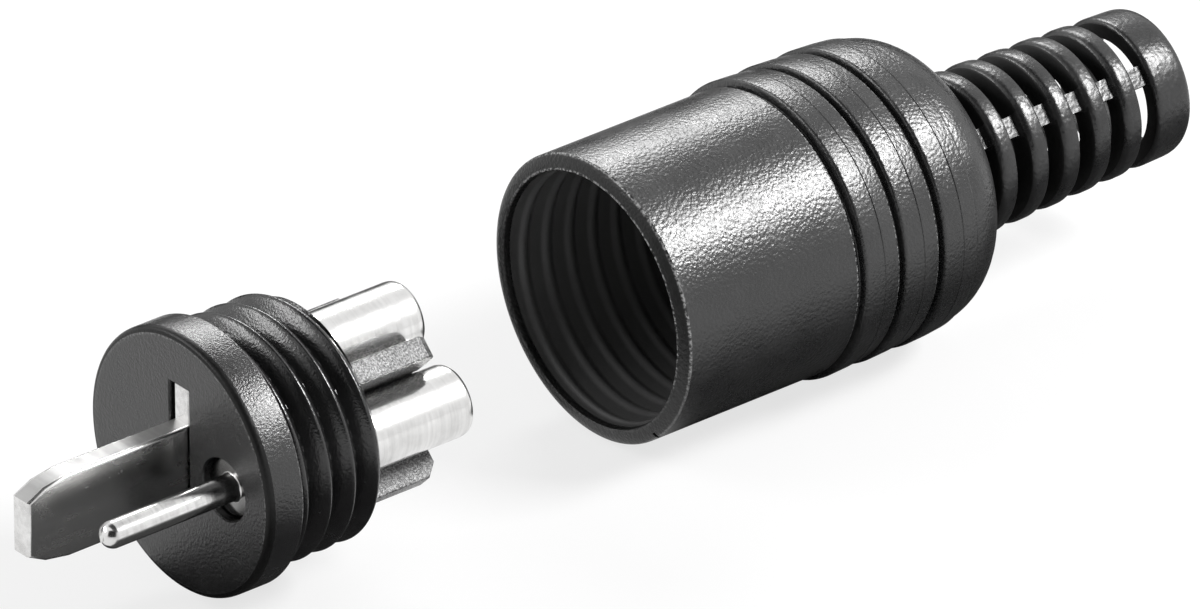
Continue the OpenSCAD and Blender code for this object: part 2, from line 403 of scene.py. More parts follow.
class TreeMaker:
    """Adds and joins nodes in a node tree."""

    def __init__(self, tree: Tree) -> None:
        """Starts on a tree."""
        self.tree = tree

    def feed(self, socket: Socket, value: Feed) -> None:
        """Links an input to a node's output, or sets it.

        Args:
            socket: The input.
            value: The output, or a plain value.
        """
        if isinstance(value, Value):
            self.tree.links.new(value.socket, socket)
        else:
            socket.default_value = value

    def node(self, kind: str, feeds: dict[Key, Feed] | None = None, **settings: object) -> Node:
        """Adds a node.

        Args:
            kind: Blender's name for the node.
            feeds: Values for its inputs, by name or number.
            settings: Properties of the node.

        Returns:
            The node.
        """
        made = self.tree.nodes.new(kind)
        for key, value in settings.items():
            setattr(made, key, value)
        for key, value in (feeds or {}).items():
            self.feed(made.inputs[key], value)
        return made

    def value(self, kind: str, feeds: dict[Key, Feed] | None = None, output: Key = 0,
              **settings: object) -> Value:
        """Adds a node and gives one of its outputs."""
        return Value(self, self.node(kind, feeds, **settings).outputs[output])

    def math(self, operation: str, *values: Feed) -> Value:
        """Adds a math node and gives its result."""
        return self.value("ShaderNodeMath", dict(enumerate(values)), operation=operation)

    def vector(self, operation: str, *values: Feed, output: Key = 0) -> Value:
        """Adds a vector math node and gives one of its results."""
        return self.value("ShaderNodeVectorMath", dict(enumerate(values)), output, operation=operation)

    def length(self, arrow: Feed) -> Value:
        """Gives the length of a vector."""
        return self.vector("LENGTH", arrow, output="Value")

    def scale(self, arrow: Feed, factor: Feed) -> Value:
        """Makes a vector longer or shorter."""
        return self.value("ShaderNodeVectorMath", {0: arrow, "Scale": factor}, operation="SCALE")

    def point(self, x: Feed = 0.0, y: Feed = 0.0, z: Feed = 0.0) -> Value:
        """Makes a vector from its parts."""
        return self.value("ShaderNodeCombineXYZ", {0: x, 1: y, 2: z})

    def parts(self, arrow: Feed) -> list[Value]:
        """Gives the X, Y and Z of a vector."""
        return [Value(self, socket) for socket in self.node("ShaderNodeSeparateXYZ", {0: arrow}).outputs]

    def ramp(self, value: Feed, low: Feed, high: Feed, to_low: Feed = 0.0, to_high: Feed = 1.0,
             smooth: bool = True) -> Value:
        """Maps a value from one range to another and keeps it inside.

        Args:
            value: What is mapped.
            low: Start of its range.
            high: End of its range.
            to_low: Result at the start.
            to_high: Result at the end.
            smooth: True for soft ends.

        Returns:
            The mapped value.
        """
        feeds = dict(enumerate((value, low, high, to_low, to_high)))
        kind = "SMOOTHSTEP" if smooth else "LINEAR"
        return self.value("ShaderNodeMapRange", feeds, interpolation_type=kind)

    def blend(self, share: Feed, one: Feed, two: Feed) -> Value:
        """Mixes two colours."""
        return self.value("ShaderNodeMix", {0: share, 6: one, 7: two}, 2, data_type="RGBA")

    def noise(self, place: Feed, scale: Feed, detail: float, roughness: float = 0.5,
              output: str = "Fac") -> Value:
        """Adds a noise texture and gives one of its outputs."""
        feeds = {"Vector": place, "Scale": scale, "Detail": detail, "Roughness": roughness}
        return self.value("ShaderNodeTexNoise", feeds, output)

    def gather(self, kind: str, socket: int, geometries: Sequence[Value], **settings: object) -> Value:
        """Adds a node that takes several geometries at one input.

        Args:
            kind: Blender's name for the node.
            socket: Number of the input.
            geometries: The geometries in order.
            settings: Properties of the node.

        Returns:
            The node's result.
        """
        made = self.node(kind, **settings)
        for geometry in geometries:
            self.feed(made.inputs[socket], geometry)
        return Value(self, made.outputs[0])

    def row(self, piece: Value, count: Feed, start: Feed, step: Feed) -> Value:
        """Repeats a piece along X.

        Args:
            piece: The piece.
            count: How many times it is there.
            start: X of the first one.
            step: Distance from one to the next.

        Returns:
            The whole row as a plain mesh.
        """
        places = self.value("GeometryNodeMeshLine", {
            "Count": count, "Start Location": self.point(start), "Offset": self.point(step)})
        copies = self.value("GeometryNodeInstanceOnPoints", {"Points": places, "Instance": piece})
        return self.value("GeometryNodeRealizeInstances", {0: copies})

    def close(self, result: Node, geometry: Value, material: Value) -> Tree:
        """Ends a geometry tree in a plain mesh with a material.

        Args:
            result: Output node of the tree.
            geometry: What the tree has made.
            material: The material.

        Returns:
            The tree.
        """
        solid = self.value("GeometryNodeRealizeInstances", {0: geometry})
        done = self.value("GeometryNodeSetMaterial", {"Geometry": solid, "Material": material})
        self.feed(result.inputs[0], done)
        return self.tree


Sockets = dict[Sort, Sequence[str]]


def new_tree(name: str, kind: str, inputs: Sockets,
             outputs: Sockets) -> tuple[TreeMaker, dict[str, Value], Node]:
    """Makes an empty node group with named sockets.

    Args:
        name: Name of the group.
        kind: Blender's name for its kind.
        inputs: Names of the inputs by sort.
        outputs: Names of the outputs by sort.

    Returns:
        A maker for the group, its inputs by name and its output node.
    """
    tree = bpy.data.node_groups.new(name, kind)
    for way, sockets in (("INPUT", inputs), ("OUTPUT", outputs)):
        for sort, labels in sockets.items():
            socket_type, unit = sort.value
            for label in labels:
                item = tree.interface.new_socket(name=label, in_out=way, socket_type=socket_type)
                if unit:
                    item.subtype = unit
    make = TreeMaker(tree)
    given = make.node("NodeGroupInput").outputs
    return make, {socket.name: Value(make, socket) for socket in given}, make.node("NodeGroupOutput")


def metric(tree: Tree, values: dict[str, object]) -> dict[str, object]:
    """Gets values ready for a group's inputs.

    Args:
        tree: The group.
        values: Values by the inputs' names, with lengths in millimetres.

    Returns:
        Values by the inputs' identifiers, with lengths in metres.
    """
    ready: dict[str, object] = {}
    for item in tree.interface.items_tree:
        if item.in_out == "INPUT" and item.name in values:
            is_length = getattr(item, "subtype", "") == Sort.LENGTH.value[1]
            ready[item.identifier] = values[item.name] * MM if is_length else values[item.name]
    return ready


def grow(obj: Obj, tree: Tree, values: dict[str, object]) -> None:
    """Runs a geometry tree on an object and keeps the result as a plain mesh.

    Args:
        obj: The object that the tree starts from.
        tree: The tree.
        values: The tree's inputs by name, with lengths in millimetres.
    """
    step = obj.modifiers.new(tree.name, "NODES")
    step.node_group = tree
    for identifier, value in metric(tree, values).items():
        step[identifier] = value
    settle(obj)


def thread_tree() -> Tree:
    """Makes the tree that raises a screw thread on a turned surface.

    Returns:
        The tree.
    """
    make, io, result = new_tree("Screw thread", "GeometryNodeTree", {
        Sort.GEOMETRY: ["Geometry"],
        Sort.LENGTH: ["Start", "End", "Pitch", "First Crest", "Height", "Run In", "Run Out", "Lowest Radius",
                      "Highest Radius", "Cone Start", "Cone Radius"],
        Sort.VALUE: ["Ridge Share", "Crest Round", "Softness", "Cone Slope"],
        Sort.MATERIAL: ["Material"]}, {Sort.GEOMETRY: ["Geometry"]})
    x, y, z = make.parts(make.value("GeometryNodeInputPosition"))
    across = make.point(y=y, z=z)
    radius = make.length(across)
    turn = make.math("ARCTAN2", z, y) / (2 * math.pi)
    phase = (x - io["First Crest"]) / io["Pitch"] - turn

    bend = io["Crest Round"] * io["Crest Round"]
    off = make.math("MINIMUM", make.math("PINGPONG", phase, 0.5) / (io["Ridge Share"] * 0.5), 1.0)
    low = make.math("SQRT", bend + 1.0)
    ridge = (low - make.math("SQRT", off * off + bend)) / (low - io["Crest Round"])
    swing = make.math("COSINE", off * math.pi) * 0.5 + 0.5
    wave = (swing - ridge) * io["Softness"] + ridge

    run_in = make.ramp(x, io["Start"], io["Start"] + io["Run In"])
    run_out = make.ramp(x, io["End"] - io["Run Out"], io["End"], 1.0, 0.0)
    rise = io["Height"] * wave * (run_in * run_out)
    past = make.math("MAXIMUM", x - io["Cone Start"], 0.0)
    cone = io["Cone Radius"] - past * io["Cone Slope"]
    reach = make.math("MINIMUM", radius + rise, cone) - radius

    above = make.math("GREATER_THAN", radius, io["Lowest Radius"])
    below = make.math("LESS_THAN", radius, io["Highest Radius"])
    behind = make.math("GREATER_THAN", x, io["Start"] - ROW_SLACK)
    ahead = make.math("LESS_THAN", x, io["End"] + ROW_SLACK)
    push = make.scale(make.vector("NORMALIZE", across), reach * (above * below * (behind * ahead)))
    moved = make.value("GeometryNodeSetPosition", {"Geometry": io["Geometry"], "Offset": push})
    return make.close(result, moved, io["Material"])


def relief_tree() -> Tree:
    """Makes the tree that adds the rings and webs of a slotted bend relief to a shell.

    Returns:
        The tree.
    """
    make, io, result = new_tree("Bend relief", "GeometryNodeTree", {
        Sort.GEOMETRY: ["Geometry"],
        Sort.LENGTH: ["First Gap", "Gap Width", "Ring Width", "Bore Radius", "Root Radius", "Taper Start",
                      "Web Width", "Web Depth", "Front Round", "Rear Round", "Inner Round", "Bite", "Draft"],
        Sort.VALUE: ["Taper", "Web Angle"],
        Sort.COUNT: ["Gap Count", "Round Steps", "Segments"],
        Sort.MATERIAL: ["Material"]}, {Sort.GEOMETRY: ["Geometry"]})
    pitch = io["Gap Width"] + io["Ring Width"]
    wall = io["Root Radius"] - io["Bore Radius"]

    section = make.value("GeometryNodeCurvePrimitiveQuadrilateral", {
        "Width": wall, "Height": io["Ring Width"]})
    outwards, forwards, _ = make.parts(make.value("GeometryNodeInputPosition"))
    outer = make.math("GREATER_THAN", outwards, 0.0)
    front = make.math("GREATER_THAN", forwards, 0.0)
    outer_round = make.ramp(front, 0.0, 1.0, io["Rear Round"], io["Front Round"], smooth=False)
    corner_round = make.ramp(outer, 0.0, 1.0, io["Inner Round"], outer_round, smooth=False)
    rounded = make.value("GeometryNodeFilletCurve", {
        "Curve": section, "Count": io["Round Steps"], "Radius": corner_round, "Limit Radius": True},
        mode="POLY")
    path = make.value("GeometryNodeCurvePrimitiveCircle", {
        "Resolution": io["Segments"], "Radius": wall * 0.5 + io["Bore Radius"]})
    ring = make.value("GeometryNodeCurveToMesh", {"Curve": path, "Profile Curve": rounded})
    upright = make.value("GeometryNodeTransform", {"Geometry": ring, "Rotation": (0.0, math.pi / 2, 0.0)})
    first_ring = io["First Gap"] + io["Gap Width"] + io["Ring Width"] * 0.5
    rings = make.row(upright, io["Gap Count"] - 1.0, first_ring, pitch)

    web_wall = wall - io["Web Depth"]
    web = make.value("GeometryNodeMeshCube", {
        "Size": make.point(io["Bite"] * 2.0 + io["Gap Width"], web_wall, io["Web Width"])})
    raised = make.value("GeometryNodeTransform", {
        "Geometry": web, "Translation": make.point(y=web_wall * 0.5 + io["Bore Radius"])})
    angles = [make.point(io["Web Angle"] + turn) for turn in (0.0, math.pi)]
    pair = make.gather("GeometryNodeJoinGeometry", 0, [
        make.value("GeometryNodeTransform", {"Geometry": raised, "Rotation": angle}) for angle in angles])
    webs = make.row(pair, io["Gap Count"], io["Gap Width"] * 0.5 + io["First Gap"], pitch)

    x, y, z = make.parts(make.value("GeometryNodeInputPosition"))
    across = make.point(y=y, z=z)
    share = (make.length(across) - io["Bore Radius"]) / wall
    lost = (x - io["Taper Start"]) * io["Taper"]
    shrunk = make.scale(make.vector("NORMALIZE", across), lost * share * -1.0)
    nearest = make.math("ROUND", (x - first_ring) / pitch)
    away = x - (nearest * pitch + first_ring)
    spread = away * (1.0 - share) * (io["Draft"] * 2.0) / io["Ring Width"]
    drafted = make.vector("ADD", shrunk, make.point(spread))
    solids = [make.value("GeometryNodeSetPosition", {"Geometry": part, "Offset": push})
              for part, push in ((rings, drafted), (webs, shrunk))]
    union = make.gather("GeometryNodeMeshBoolean", 1, [io["Geometry"], *solids],
                        operation="UNION", solver="MANIFOLD")
    return make.close(result, union, io["Material"])


# Finishes


def grey(level: float) -> Colour:
    """Gives a colour without a hue."""
    return (level, level, level)


@dataclass(frozen=True)
class Rim:
    """A round edge, polished by hands and tools, with a pale line on it that is a painted highlight,
    strongest on its lit side.

    Attributes:
        x: Place of the edge along the plug's axis, in millimetres.
        r: Radius of the edge, in millimetres.
        reach: How far the polish reaches from the edge, in millimetres.
        side: Direction about the axis towards the lamps, where the painted highlight is strongest, in degrees
            from +Y towards +Z.
    """

    x: float
    r: float
    reach: float
    side: float = 115.0


class Effects:
    """Shader node groups that several finishes share."""

    def __init__(self) -> None:
        """Builds the groups once."""
        self.grain, self.haze = self._grain(), self._haze()
        self.rim, self.lines = self._rim(), self._lines()

    def _grain(self) -> Tree:
        """Makes the grain that a spark-eroded mould leaves on plastic.

        Returns:
            The group.
        """
        make, io, result = new_tree("Moulded grain", "ShaderNodeTree",
                                    {Sort.LENGTH: ["Cell Size", "Fine Size"], Sort.VALUE: ["Fine Share"]},
                                    {Sort.VALUE: ["Height", "Speckle"]})
        wander_scale, wander, blur = 0.7, 0.9, 0.6
        place = make.value("ShaderNodeTexCoord", output="Object")
        warp = make.noise(place, wander_scale / io["Cell Size"], 1.0, output="Color")
        bent = make.scale(make.vector("SUBTRACT", warp, grey(0.5)), io["Cell Size"] * wander)
        cells = make.value("ShaderNodeTexVoronoi", {
            "Vector": make.vector("ADD", place, bent), "Scale": 1.0 / io["Cell Size"], "Smoothness": blur},
            "Distance", feature="SMOOTH_F1")
        fine = make.noise(place, 1.0 / io["Fine Size"], 2.0)
        coarse = (1.0 - cells) * (1.0 - io["Fine Share"])
        make.feed(result.inputs["Height"], fine * io["Fine Share"] + coarse)
        make.feed(result.inputs["Speckle"], make.ramp(fine, 0.4, 0.66))
        return make.tree

    def _haze(self) -> Tree:
        """Makes the soft patches that handling leaves.

        Returns:
            The group.
        """
        make, io, result = new_tree("Handling haze", "ShaderNodeTree", {Sort.LENGTH: ["Patch Size"]},
                                    {Sort.VALUE: ["Haze"]})
        place = make.value("ShaderNodeTexCoord", output="Object")
        patch = make.noise(place, 1.0 / io["Patch Size"], 4.0, 0.62)
        make.feed(result.inputs["Haze"], make.ramp(patch, 0.36, 0.68))
        return make.tree

    def _rim(self) -> Tree:
        """Makes the mask of a round edge about the plug's axis, broken and strongest on its lit side, for its
        polished roughness and its painted highlight.

        Returns:
            The group.
        """
        make, io, result = new_tree("Rim polish", "ShaderNodeTree",
                                    {Sort.LENGTH: ["Along", "Radius", "Reach"], Sort.VALUE: ["Side"]},
                                    {Sort.VALUE: ["Mask"]})
        break_scale, unlit_share = 7000.0, 0.12
        place = make.value("ShaderNodeTexCoord", output="Object")
        x, y, z = make.parts(place)
        radius = make.length(make.point(y=y, z=z))
        far = make.length(make.point(x - io["Along"], radius - io["Radius"]))
        near = 1.0 - make.ramp(far / io["Reach"], 0.15, 1.0)
        broken = make.ramp(make.noise(place, break_scale, 2.0), 0.42, 0.64)
        # Painted highlight: the mask is strongest on the side of the edge that faces the lamps.
        toward_lit_side = make.math("COSINE", make.math("ARCTAN2", z, y) - io["Side"])
        make.feed(result.inputs["Mask"], near * (broken * make.ramp(toward_lit_side, -0.2, 0.7, unlit_share, 1.0)))
        return make.tree

    def _lines(self) -> Tree:
        """Makes the fine lines of turned or drawn metal.

        Returns:
            The group.
        """
        make, io, result = new_tree("Tool lines", "ShaderNodeTree",
                                    {Sort.LENGTH: ["Line Size"], Sort.VALUE: ["Run Along", "Run Across"]},
                                    {Sort.VALUE: ["Height", "Streak"]})
        wide_scale, wide_share = 0.17, 0.6
        place = make.value("ShaderNodeTexCoord", output="Object")
        stretch = make.point(io["Run Along"], io["Run Across"], io["Run Across"])
        drawn = make.vector("MULTIPLY", place, stretch)
        scale = 1.0 / io["Line Size"]
        fine = make.noise(drawn, scale, 3.0, 0.65)
        wide = make.noise(drawn, scale * wide_scale, 2.0)
        make.feed(result.inputs["Height"], wide * wide_share + fine)
        make.feed(result.inputs["Streak"], make.ramp(wide, 0.35, 0.68))
        return make.tree


def place_group(make: TreeMaker, tree: Tree, values: dict[str, object]) -> dict[str, Value]:
    """Places a shader group in a material.

    Args:
        make: Maker of the material's tree.
        tree: The group.
        values: Values of its inputs by name, with lengths in millimetres.

    Returns:
        The group's outputs by name.
    """
    made = make.node("ShaderNodeGroup", node_tree=tree)
    ready = metric(tree, values)
    for socket in made.inputs:
        make.feed(socket, ready[socket.identifier])
    return {socket.name: Value(make, socket) for socket in made.outputs}


def new_material(name: str) -> tuple[Material, TreeMaker, Node]:
    """Makes a material.

    Args:
        name: Name of the material.

    Returns:
        The material, a maker for its tree and its shader.
    """
    material = bpy.data.materials.new(name)
    material.use_nodes = True
    tree = material.node_tree
    return material, TreeMaker(tree), tree.nodes["Principled BSDF"]


def feed_shader(make: TreeMaker, shader: Node, feeds: dict[str, Feed], bump: dict[Key, Feed]) -> None:
    """Joins a finish to its shader.

    Args:
        make: Maker of the material's tree.
        shader: The shader.
        feeds: Values for the shader's inputs by name.
        bump: Strength, distance and height of the small relief.
    """
    for name, value in feeds.items():
        make.feed(shader.inputs[name], value)
    make.feed(shader.inputs["Normal"], make.value("ShaderNodeBump", bump))


@dataclass(frozen=True)
class MouldedPlastic:
    """Black plastic with the grain of its mould.

    Attributes:
        name: Name of the material.
        colour: Colour of the plastic.
        bloom: Colour where it is rubbed or dusty.
        bloom_share: How much of that colour the rubbed patches take.
        glint_colour: Colour of the painted highlights on the polished edges and of the pale specks, which are
            painted glints.
        specks: Share of the pale specks, which are painted glints of the grain.
        patch: Size of the rubbed patches, in millimetres.
        roughness: Smallest and largest roughness.
        speck_polish: Roughness that the specks lose.
        rim_polish: Roughness that the polished edges lose.
        cell: Size of the grain's cells, in millimetres.
        fine: Size of the grain's fine part, in millimetres.
        fine_share: Share of the fine part.
        depth: Depth of the grain, in millimetres.
        strength: Strength of the grain in the light.
        gloss: Level of the plastic's mirror share.
        ior: Index of refraction.
        rims: Edges that are polished and carry a painted highlight.
    """

    name: str
    colour: Colour = (0.0085, 0.0085, 0.0088)
    bloom: Colour = grey(0.02)
    bloom_share: float = 0.35
    glint_colour: Colour = grey(0.035)
    specks: float = 0.0
    patch: float = 2.6
    roughness: Point = (0.27, 0.34)
    speck_polish: float = 0.05
    rim_polish: float = 0.14
    cell: float = 0.175
    fine: float = 0.075
    fine_share: float = 0.4
    depth: float = 0.05
    strength: float = 0.8
    gloss: float = 0.65
    ior: float = 1.53
    rims: tuple[Rim, ...] = ()

    def build(self, effects: Effects) -> Material:
        """Makes the material.

        Args:
            effects: The shared shader groups.

        Returns:
            The material.
        """
        material, make, shader = new_material(self.name)
        grain = place_group(make, effects.grain, {
            "Cell Size": self.cell, "Fine Size": self.fine, "Fine Share": self.fine_share})
        haze = place_group(make, effects.haze, {"Patch Size": self.patch})["Haze"]
        polish_and_glint: Feed = 0.0
        for rim in self.rims:
            mask = place_group(make, effects.rim, {
                "Along": rim.x, "Radius": rim.r, "Reach": rim.reach, "Side": math.radians(rim.side)})["Mask"]
            polish_and_glint = make.math("MAXIMUM", polish_and_glint, mask)
        rough = make.ramp(haze, 0.0, 1.0, *self.roughness, smooth=False)
        rough = grain["Speckle"] * -self.speck_polish + rough
        if self.rims:
            rough = polish_and_glint * -self.rim_polish + rough
        colour = make.blend(haze * self.bloom_share, (*self.colour, 1.0), (*self.bloom, 1.0))
        # Painted highlights: pale colour on the polished edges and in the pale specks.
        colour = make.blend(grain["Speckle"] * self.specks + polish_and_glint, colour, (*self.glint_colour, 1.0))
        feed_shader(make, shader, {
            "Base Color": colour, "Roughness": rough, "IOR": self.ior, "Specular IOR Level": self.gloss},
            {"Strength": self.strength, "Distance": self.depth * MM, "Height": grain["Height"]})
        return material


@dataclass(frozen=True)
class PlatedMetal:
    """Nickel-plated brass.

    Attributes:
        name: Name of the material.
        colour: Colour of the clean plating.
        tarnish: Colour of the duller patches.
        patch: Size of the patches, in millimetres.
        patch_share: How dull the patches are.
        streak_share: How dull the broad tool lines are.
        roughness: Smallest and largest roughness.
        line: Size of the tool lines, in millimetres.
        depth: Depth of the tool lines, in millimetres.
        strength: Strength of the lines in the light.
        lay: Which way the lines run.
    """

    name: str
    colour: Colour = (0.80, 0.797, 0.79)
    tarnish: Colour = (0.58, 0.576, 0.57)
    patch: float = 1.6
    patch_share: float = 0.45
    streak_share: float = 0.4
    roughness: Point = (0.13, 0.26)
    line: float = 0.05
    depth: float = 0.004
    strength: float = 0.35
    lay: Lay = Lay.TURNED

    def build(self, effects: Effects) -> Material:
        """Makes the material.

        Args:
            effects: The shared shader groups.

        Returns:
            The material.
        """
        material, make, shader = new_material(self.name)
        along, across = self.lay.value
        lines = place_group(make, effects.lines, {
            "Line Size": self.line, "Run Along": along, "Run Across": across})
        haze = place_group(make, effects.haze, {"Patch Size": self.patch})["Haze"]
        dull = lines["Streak"] * self.streak_share + haze * self.patch_share
        dullest = self.streak_share + self.patch_share
        feed_shader(make, shader, {
            "Base Color": make.blend(dull, (*self.colour, 1.0), (*self.tarnish, 1.0)),
            "Roughness": make.ramp(dull, 0.0, dullest, *self.roughness, smooth=False), "Metallic": 1.0},
            {"Strength": self.strength, "Distance": self.depth * MM, "Height": lines["Height"]})
        return material


# The plug's pieces

BEYOND = 1000.0  # a place or radius past the whole plug, in millimetres
AT_ONCE = 0.001  # length of a run-in that is as good as none, in millimetres
# The rims' reach covers both their polished roughness and their painted highlight.
FRONT_RIM_REACH = 0.12  # reach of the polish on an edge that faces the front, in millimetres
REAR_RIM_REACH = 0.11  # reach of the polish on an edge that faces the rear, in millimetres
Finishes = dict[Zone, Material]


@dataclass
class Terminals:
    """Sizes that the contacts and the insert share.

    Attributes:
        barrel_r: Outer radius of the wire barrels.
        hole_r: Radius of the wire holes.
        start: Front end of the barrels.
        end: Rear end of the blade's barrel.
        pin_extra: How much further the pin's barrel reaches.
        hole_depth: Depth of the wire holes.
        drill_point: Depth of the drill's point, as a share of the hole's radius.
        height: Z of the blade's barrel.
        offset: Distance of the pin's barrel from the axis, towards -Y.
        soft: Rounding of plain turned edges.
        rear_soft: Rounding of the barrels' rear edges.
        hole_soft: Rounding of the wire holes' edges.
        segments: Flat pieces in a full turn.
        steps: Straight pieces in a rounding.
    """

    barrel_r: float = 1.75
    hole_r: float = 1.15
    start: float = 3.0
    end: float = 13.0
    pin_extra: float = 0.2
    hole_depth: float = 5.0
    drill_point: float = 0.6
    height: float = 3.05
    offset: float = 3.2
    soft: float = 0.1
    rear_soft: float = 0.42
    hole_soft: float = 0.12
    segments: int = 96
    steps: int = 5

    def rear_corners(self, end: float) -> list[Corner]:
        """Gives the corners of a barrel's rear end and its wire hole.

        Args:
            end: X of the rear end.

        Returns:
            The corners, from the outside to the bottom of the hole.
        """
        floor = end - self.hole_depth
        return [Corner(end, self.barrel_r, self.rear_soft), Corner(end, self.hole_r, self.hole_soft),
                Corner(floor, self.hole_r, self.soft), Corner(floor - self.drill_point * self.hole_r, 0.0)]


@dataclass
class ScrewThread:
    """The thread between the insert and the cover.

    Attributes:
        pitch: Distance from crest to crest.
        first_crest: Place of a crest of the insert's thread, at +Y.
        root_r: Radius of the insert's thread at its root.
        crest_r: Radius of the insert's thread at its crest.
        crest_round: Rounding of the insert's crests, as a share of the flank.
        softness: How far the insert's flanks are wavy, from 0 to 1.
    """

    pitch: float = 1.37
    first_crest: float = 0.48
    root_r: float = 5.3
    crest_r: float = 6.05
    crest_round: float = 0.28
    softness: float = 0.05


@dataclass
class Insert:
    """Moulded insert with its flange, threaded boss and rear partition.

    Attributes:
        terminals: Sizes of the barrels that it holds.
        thread: The thread on its boss.
        flange_r: Radius of the flange.
        flange_end: Rear face of the flange.
        front_soft: Rounding of the flange's front edge.
        rear_soft: Rounding of the flange's rear edge.
        boss_end: Rear face of the boss.
        face_rings: How far inside their edges the front and the rear face have a ring of points.
        row_step: Distance between the rows of points along the thread.
        thread_slack: How far from the root the thread's points may lie.
        cone_length: Length of the cone that ends the thread.
        cone_slope: Slope of that cone.
        arm_root: How far the partition's arms reach into the boss.
        arm_overlap: How far they reach past the axis.
        arm_end: Rear end of the arms.
        near_reach: Reach of the two arms beside the pin's barrel.
        far_reach: Reach of the two other arms.
        arm_thickness: Thickness of the arms.
        arm_corner: Slope at the outer rear corner of the arms.
        arm_soft: Rounding of the arms' edges.
        cutter_start: X where the cutters for the slot and the pin's hole start.
        slot_y: Half width of the blade's slot.
        slot_z: Lowest and highest Z of the slot.
        slot_end: Rear end of the slot.
        pin_hole_r: Radius of the hole round the pin's collar.
        flare: Slope at the front edges of the slot and the hole.
        barrel_play: Gap round the barrels.
        room_end: Rear end of the cutters for the barrels.
        edge_depth: How far back the darker finish of the front edge, a painted shade, reaches.
        edge_width: How far inwards it reaches.
        rim_inset: How far inside the flange's radius its front and its rear edge are polished and carry a
            painted highlight.
        segments: Flat pieces in a full turn.
    """

    terminals: Terminals
    thread: ScrewThread
    flange_r: float = 6.5
    flange_end: float = 2.0
    front_soft: float = 0.36
    rear_soft: float = 0.11
    boss_end: float = 7.2
    face_rings: Point = (0.6, 0.5)
    row_step: float = 0.03
    thread_slack: float = 0.05
    cone_length: float = 0.42
    cone_slope: float = 1.1
    arm_root: float = 0.5
    arm_overlap: float = 0.2
    arm_end: float = 12.0
    near_reach: float = 4.95
    far_reach: float = 4.3
    arm_thickness: float = 1.1
    arm_corner: float = 0.6
    arm_soft: float = 0.09
    cutter_start: float = -1.0
    slot_y: float = 0.69
    slot_z: Point = (-2.19, 3.99)
    slot_end: float = 5.49
    pin_hole_r: float = 1.5
    flare: float = 0.07
    barrel_play: float = 0.05
    room_end: float = 14.0
    edge_depth: float = 0.3
    edge_width: float = 0.25
    rim_inset: Point = (0.3, 0.03)
    segments: int = 160

    def rims(self) -> tuple[Rim, ...]:
        """Gives the flange's polished edges, which carry a painted highlight.

        Returns:
            The front edge and the rear edge.
        """
        front, rear = self.rim_inset
        return (Rim(HAIR, self.flange_r - front, FRONT_RIM_REACH),
                Rim(self.flange_end - rear, self.flange_r - rear, REAR_RIM_REACH))

    def _turned_body(self, tree: Tree, material: Material) -> Obj:
        """Makes the flange and the threaded boss.

        Args:
            tree: Geometry tree of the thread.
            material: Material that the tree sets.

        Returns:
            The turned body.
        """
        root = self.thread.root_r
        front_ring, rear_ring = self.face_rings
        front = soft_outline([
            Corner(0, 0), Corner(0, self.flange_r - front_ring), Corner(0, self.flange_r, self.front_soft),
            Corner(self.flange_end, self.flange_r, self.rear_soft), Corner(self.flange_end, root)], steps=5)
        rows = even_rows(self.flange_end, self.boss_end, root, self.row_step)
        rear = [(self.boss_end, root - rear_ring), (self.boss_end, 0)]
        body = turned("insert_body_looks", front[:-1] + rows + rear, self.segments)
        grow(body, tree, {
            "Start": self.flange_end, "End": self.boss_end, "Pitch": self.thread.pitch,
            "First Crest": self.thread.first_crest, "Height": self.thread.crest_r - root, "Ridge Share": 1.0,
            "Crest Round": self.thread.crest_round, "Softness": self.thread.softness, "Run In": AT_ONCE,
            "Run Out": AT_ONCE, "Lowest Radius": root - self.thread_slack,
            "Highest Radius": root + self.thread_slack, "Cone Start": self.boss_end - self.cone_length,
            "Cone Radius": self.thread.crest_r, "Cone Slope": self.cone_slope, "Material": material})
        return body

    def _arm(self, degrees: float, reach: float) -> Obj:
        """Makes one arm of the partition.

        Args:
            degrees: Its direction about the plug's axis, from +Y towards +Z.
            reach: How far it reaches from the axis.

        Returns:
            The arm.
        """
        start, low = self.boss_end - self.arm_root, -self.arm_overlap
        outline = [(start, low), (start, reach), (self.arm_end - self.arm_corner, reach),
                   (self.arm_end, reach - self.arm_corner), (self.arm_end, low)]
        arm = soft_plate("arm", outline, self.arm_thickness, self.arm_soft, 2)
        arm.data.transform(Matrix.Rotation(math.radians(degrees - 90), 4, "X"))
        return arm

    def _open(self, body: Obj) -> None:
        """Cuts the blade's slot, the pin's hole and the rooms for the barrels.

        Args:
            body: The insert.
        """
        size = self.terminals
        wide, (low, high) = self.slot_y + self.flare, self.slot_z
        front = (-wide, wide, low - self.flare, high + self.flare)
        inside = (-self.slot_y, self.slot_y, low, high)
        combine(body, lofted_box("slot", [(self.cutter_start, *front), (0, *front), (self.flare, *inside),
                                          (self.slot_end, *inside)]), Cut.REMOVE)
        barrel, room = size.barrel_r + self.barrel_play, size.start - self.barrel_play
        rear = [(room, barrel), (self.room_end, barrel), (self.room_end, 0)]
        wide = self.pin_hole_r + self.flare
        hole = [(self.cutter_start, 0), (self.cutter_start, wide), (0, wide), (self.flare, self.pin_hole_r),
                (room, self.pin_hole_r)]
        combine(body, turned("pin_room", hole + rear, size.segments, (-size.offset, 0)), Cut.REMOVE)
        combine(body, turned("blade_room", [(room, 0), *rear], size.segments, (0, size.height)), Cut.REMOVE)

    def _zone(self, middle: Vector) -> Zone:
        """Tells the flange, its front edge, the thread and the partition apart.

        Args:
            middle: Middle of a face.

        Returns:
            Its zone.
        """
        if middle.x > self.boss_end - 2 * HAIR:
            return Zone.PARTITION
        outside = math.hypot(middle.y, middle.z) > self.flange_r - self.edge_width
        if middle.x < self.edge_depth and outside:
            return Zone.EDGE
        return Zone.THREAD if middle.x > self.flange_end + HAIR else Zone.FLANGE

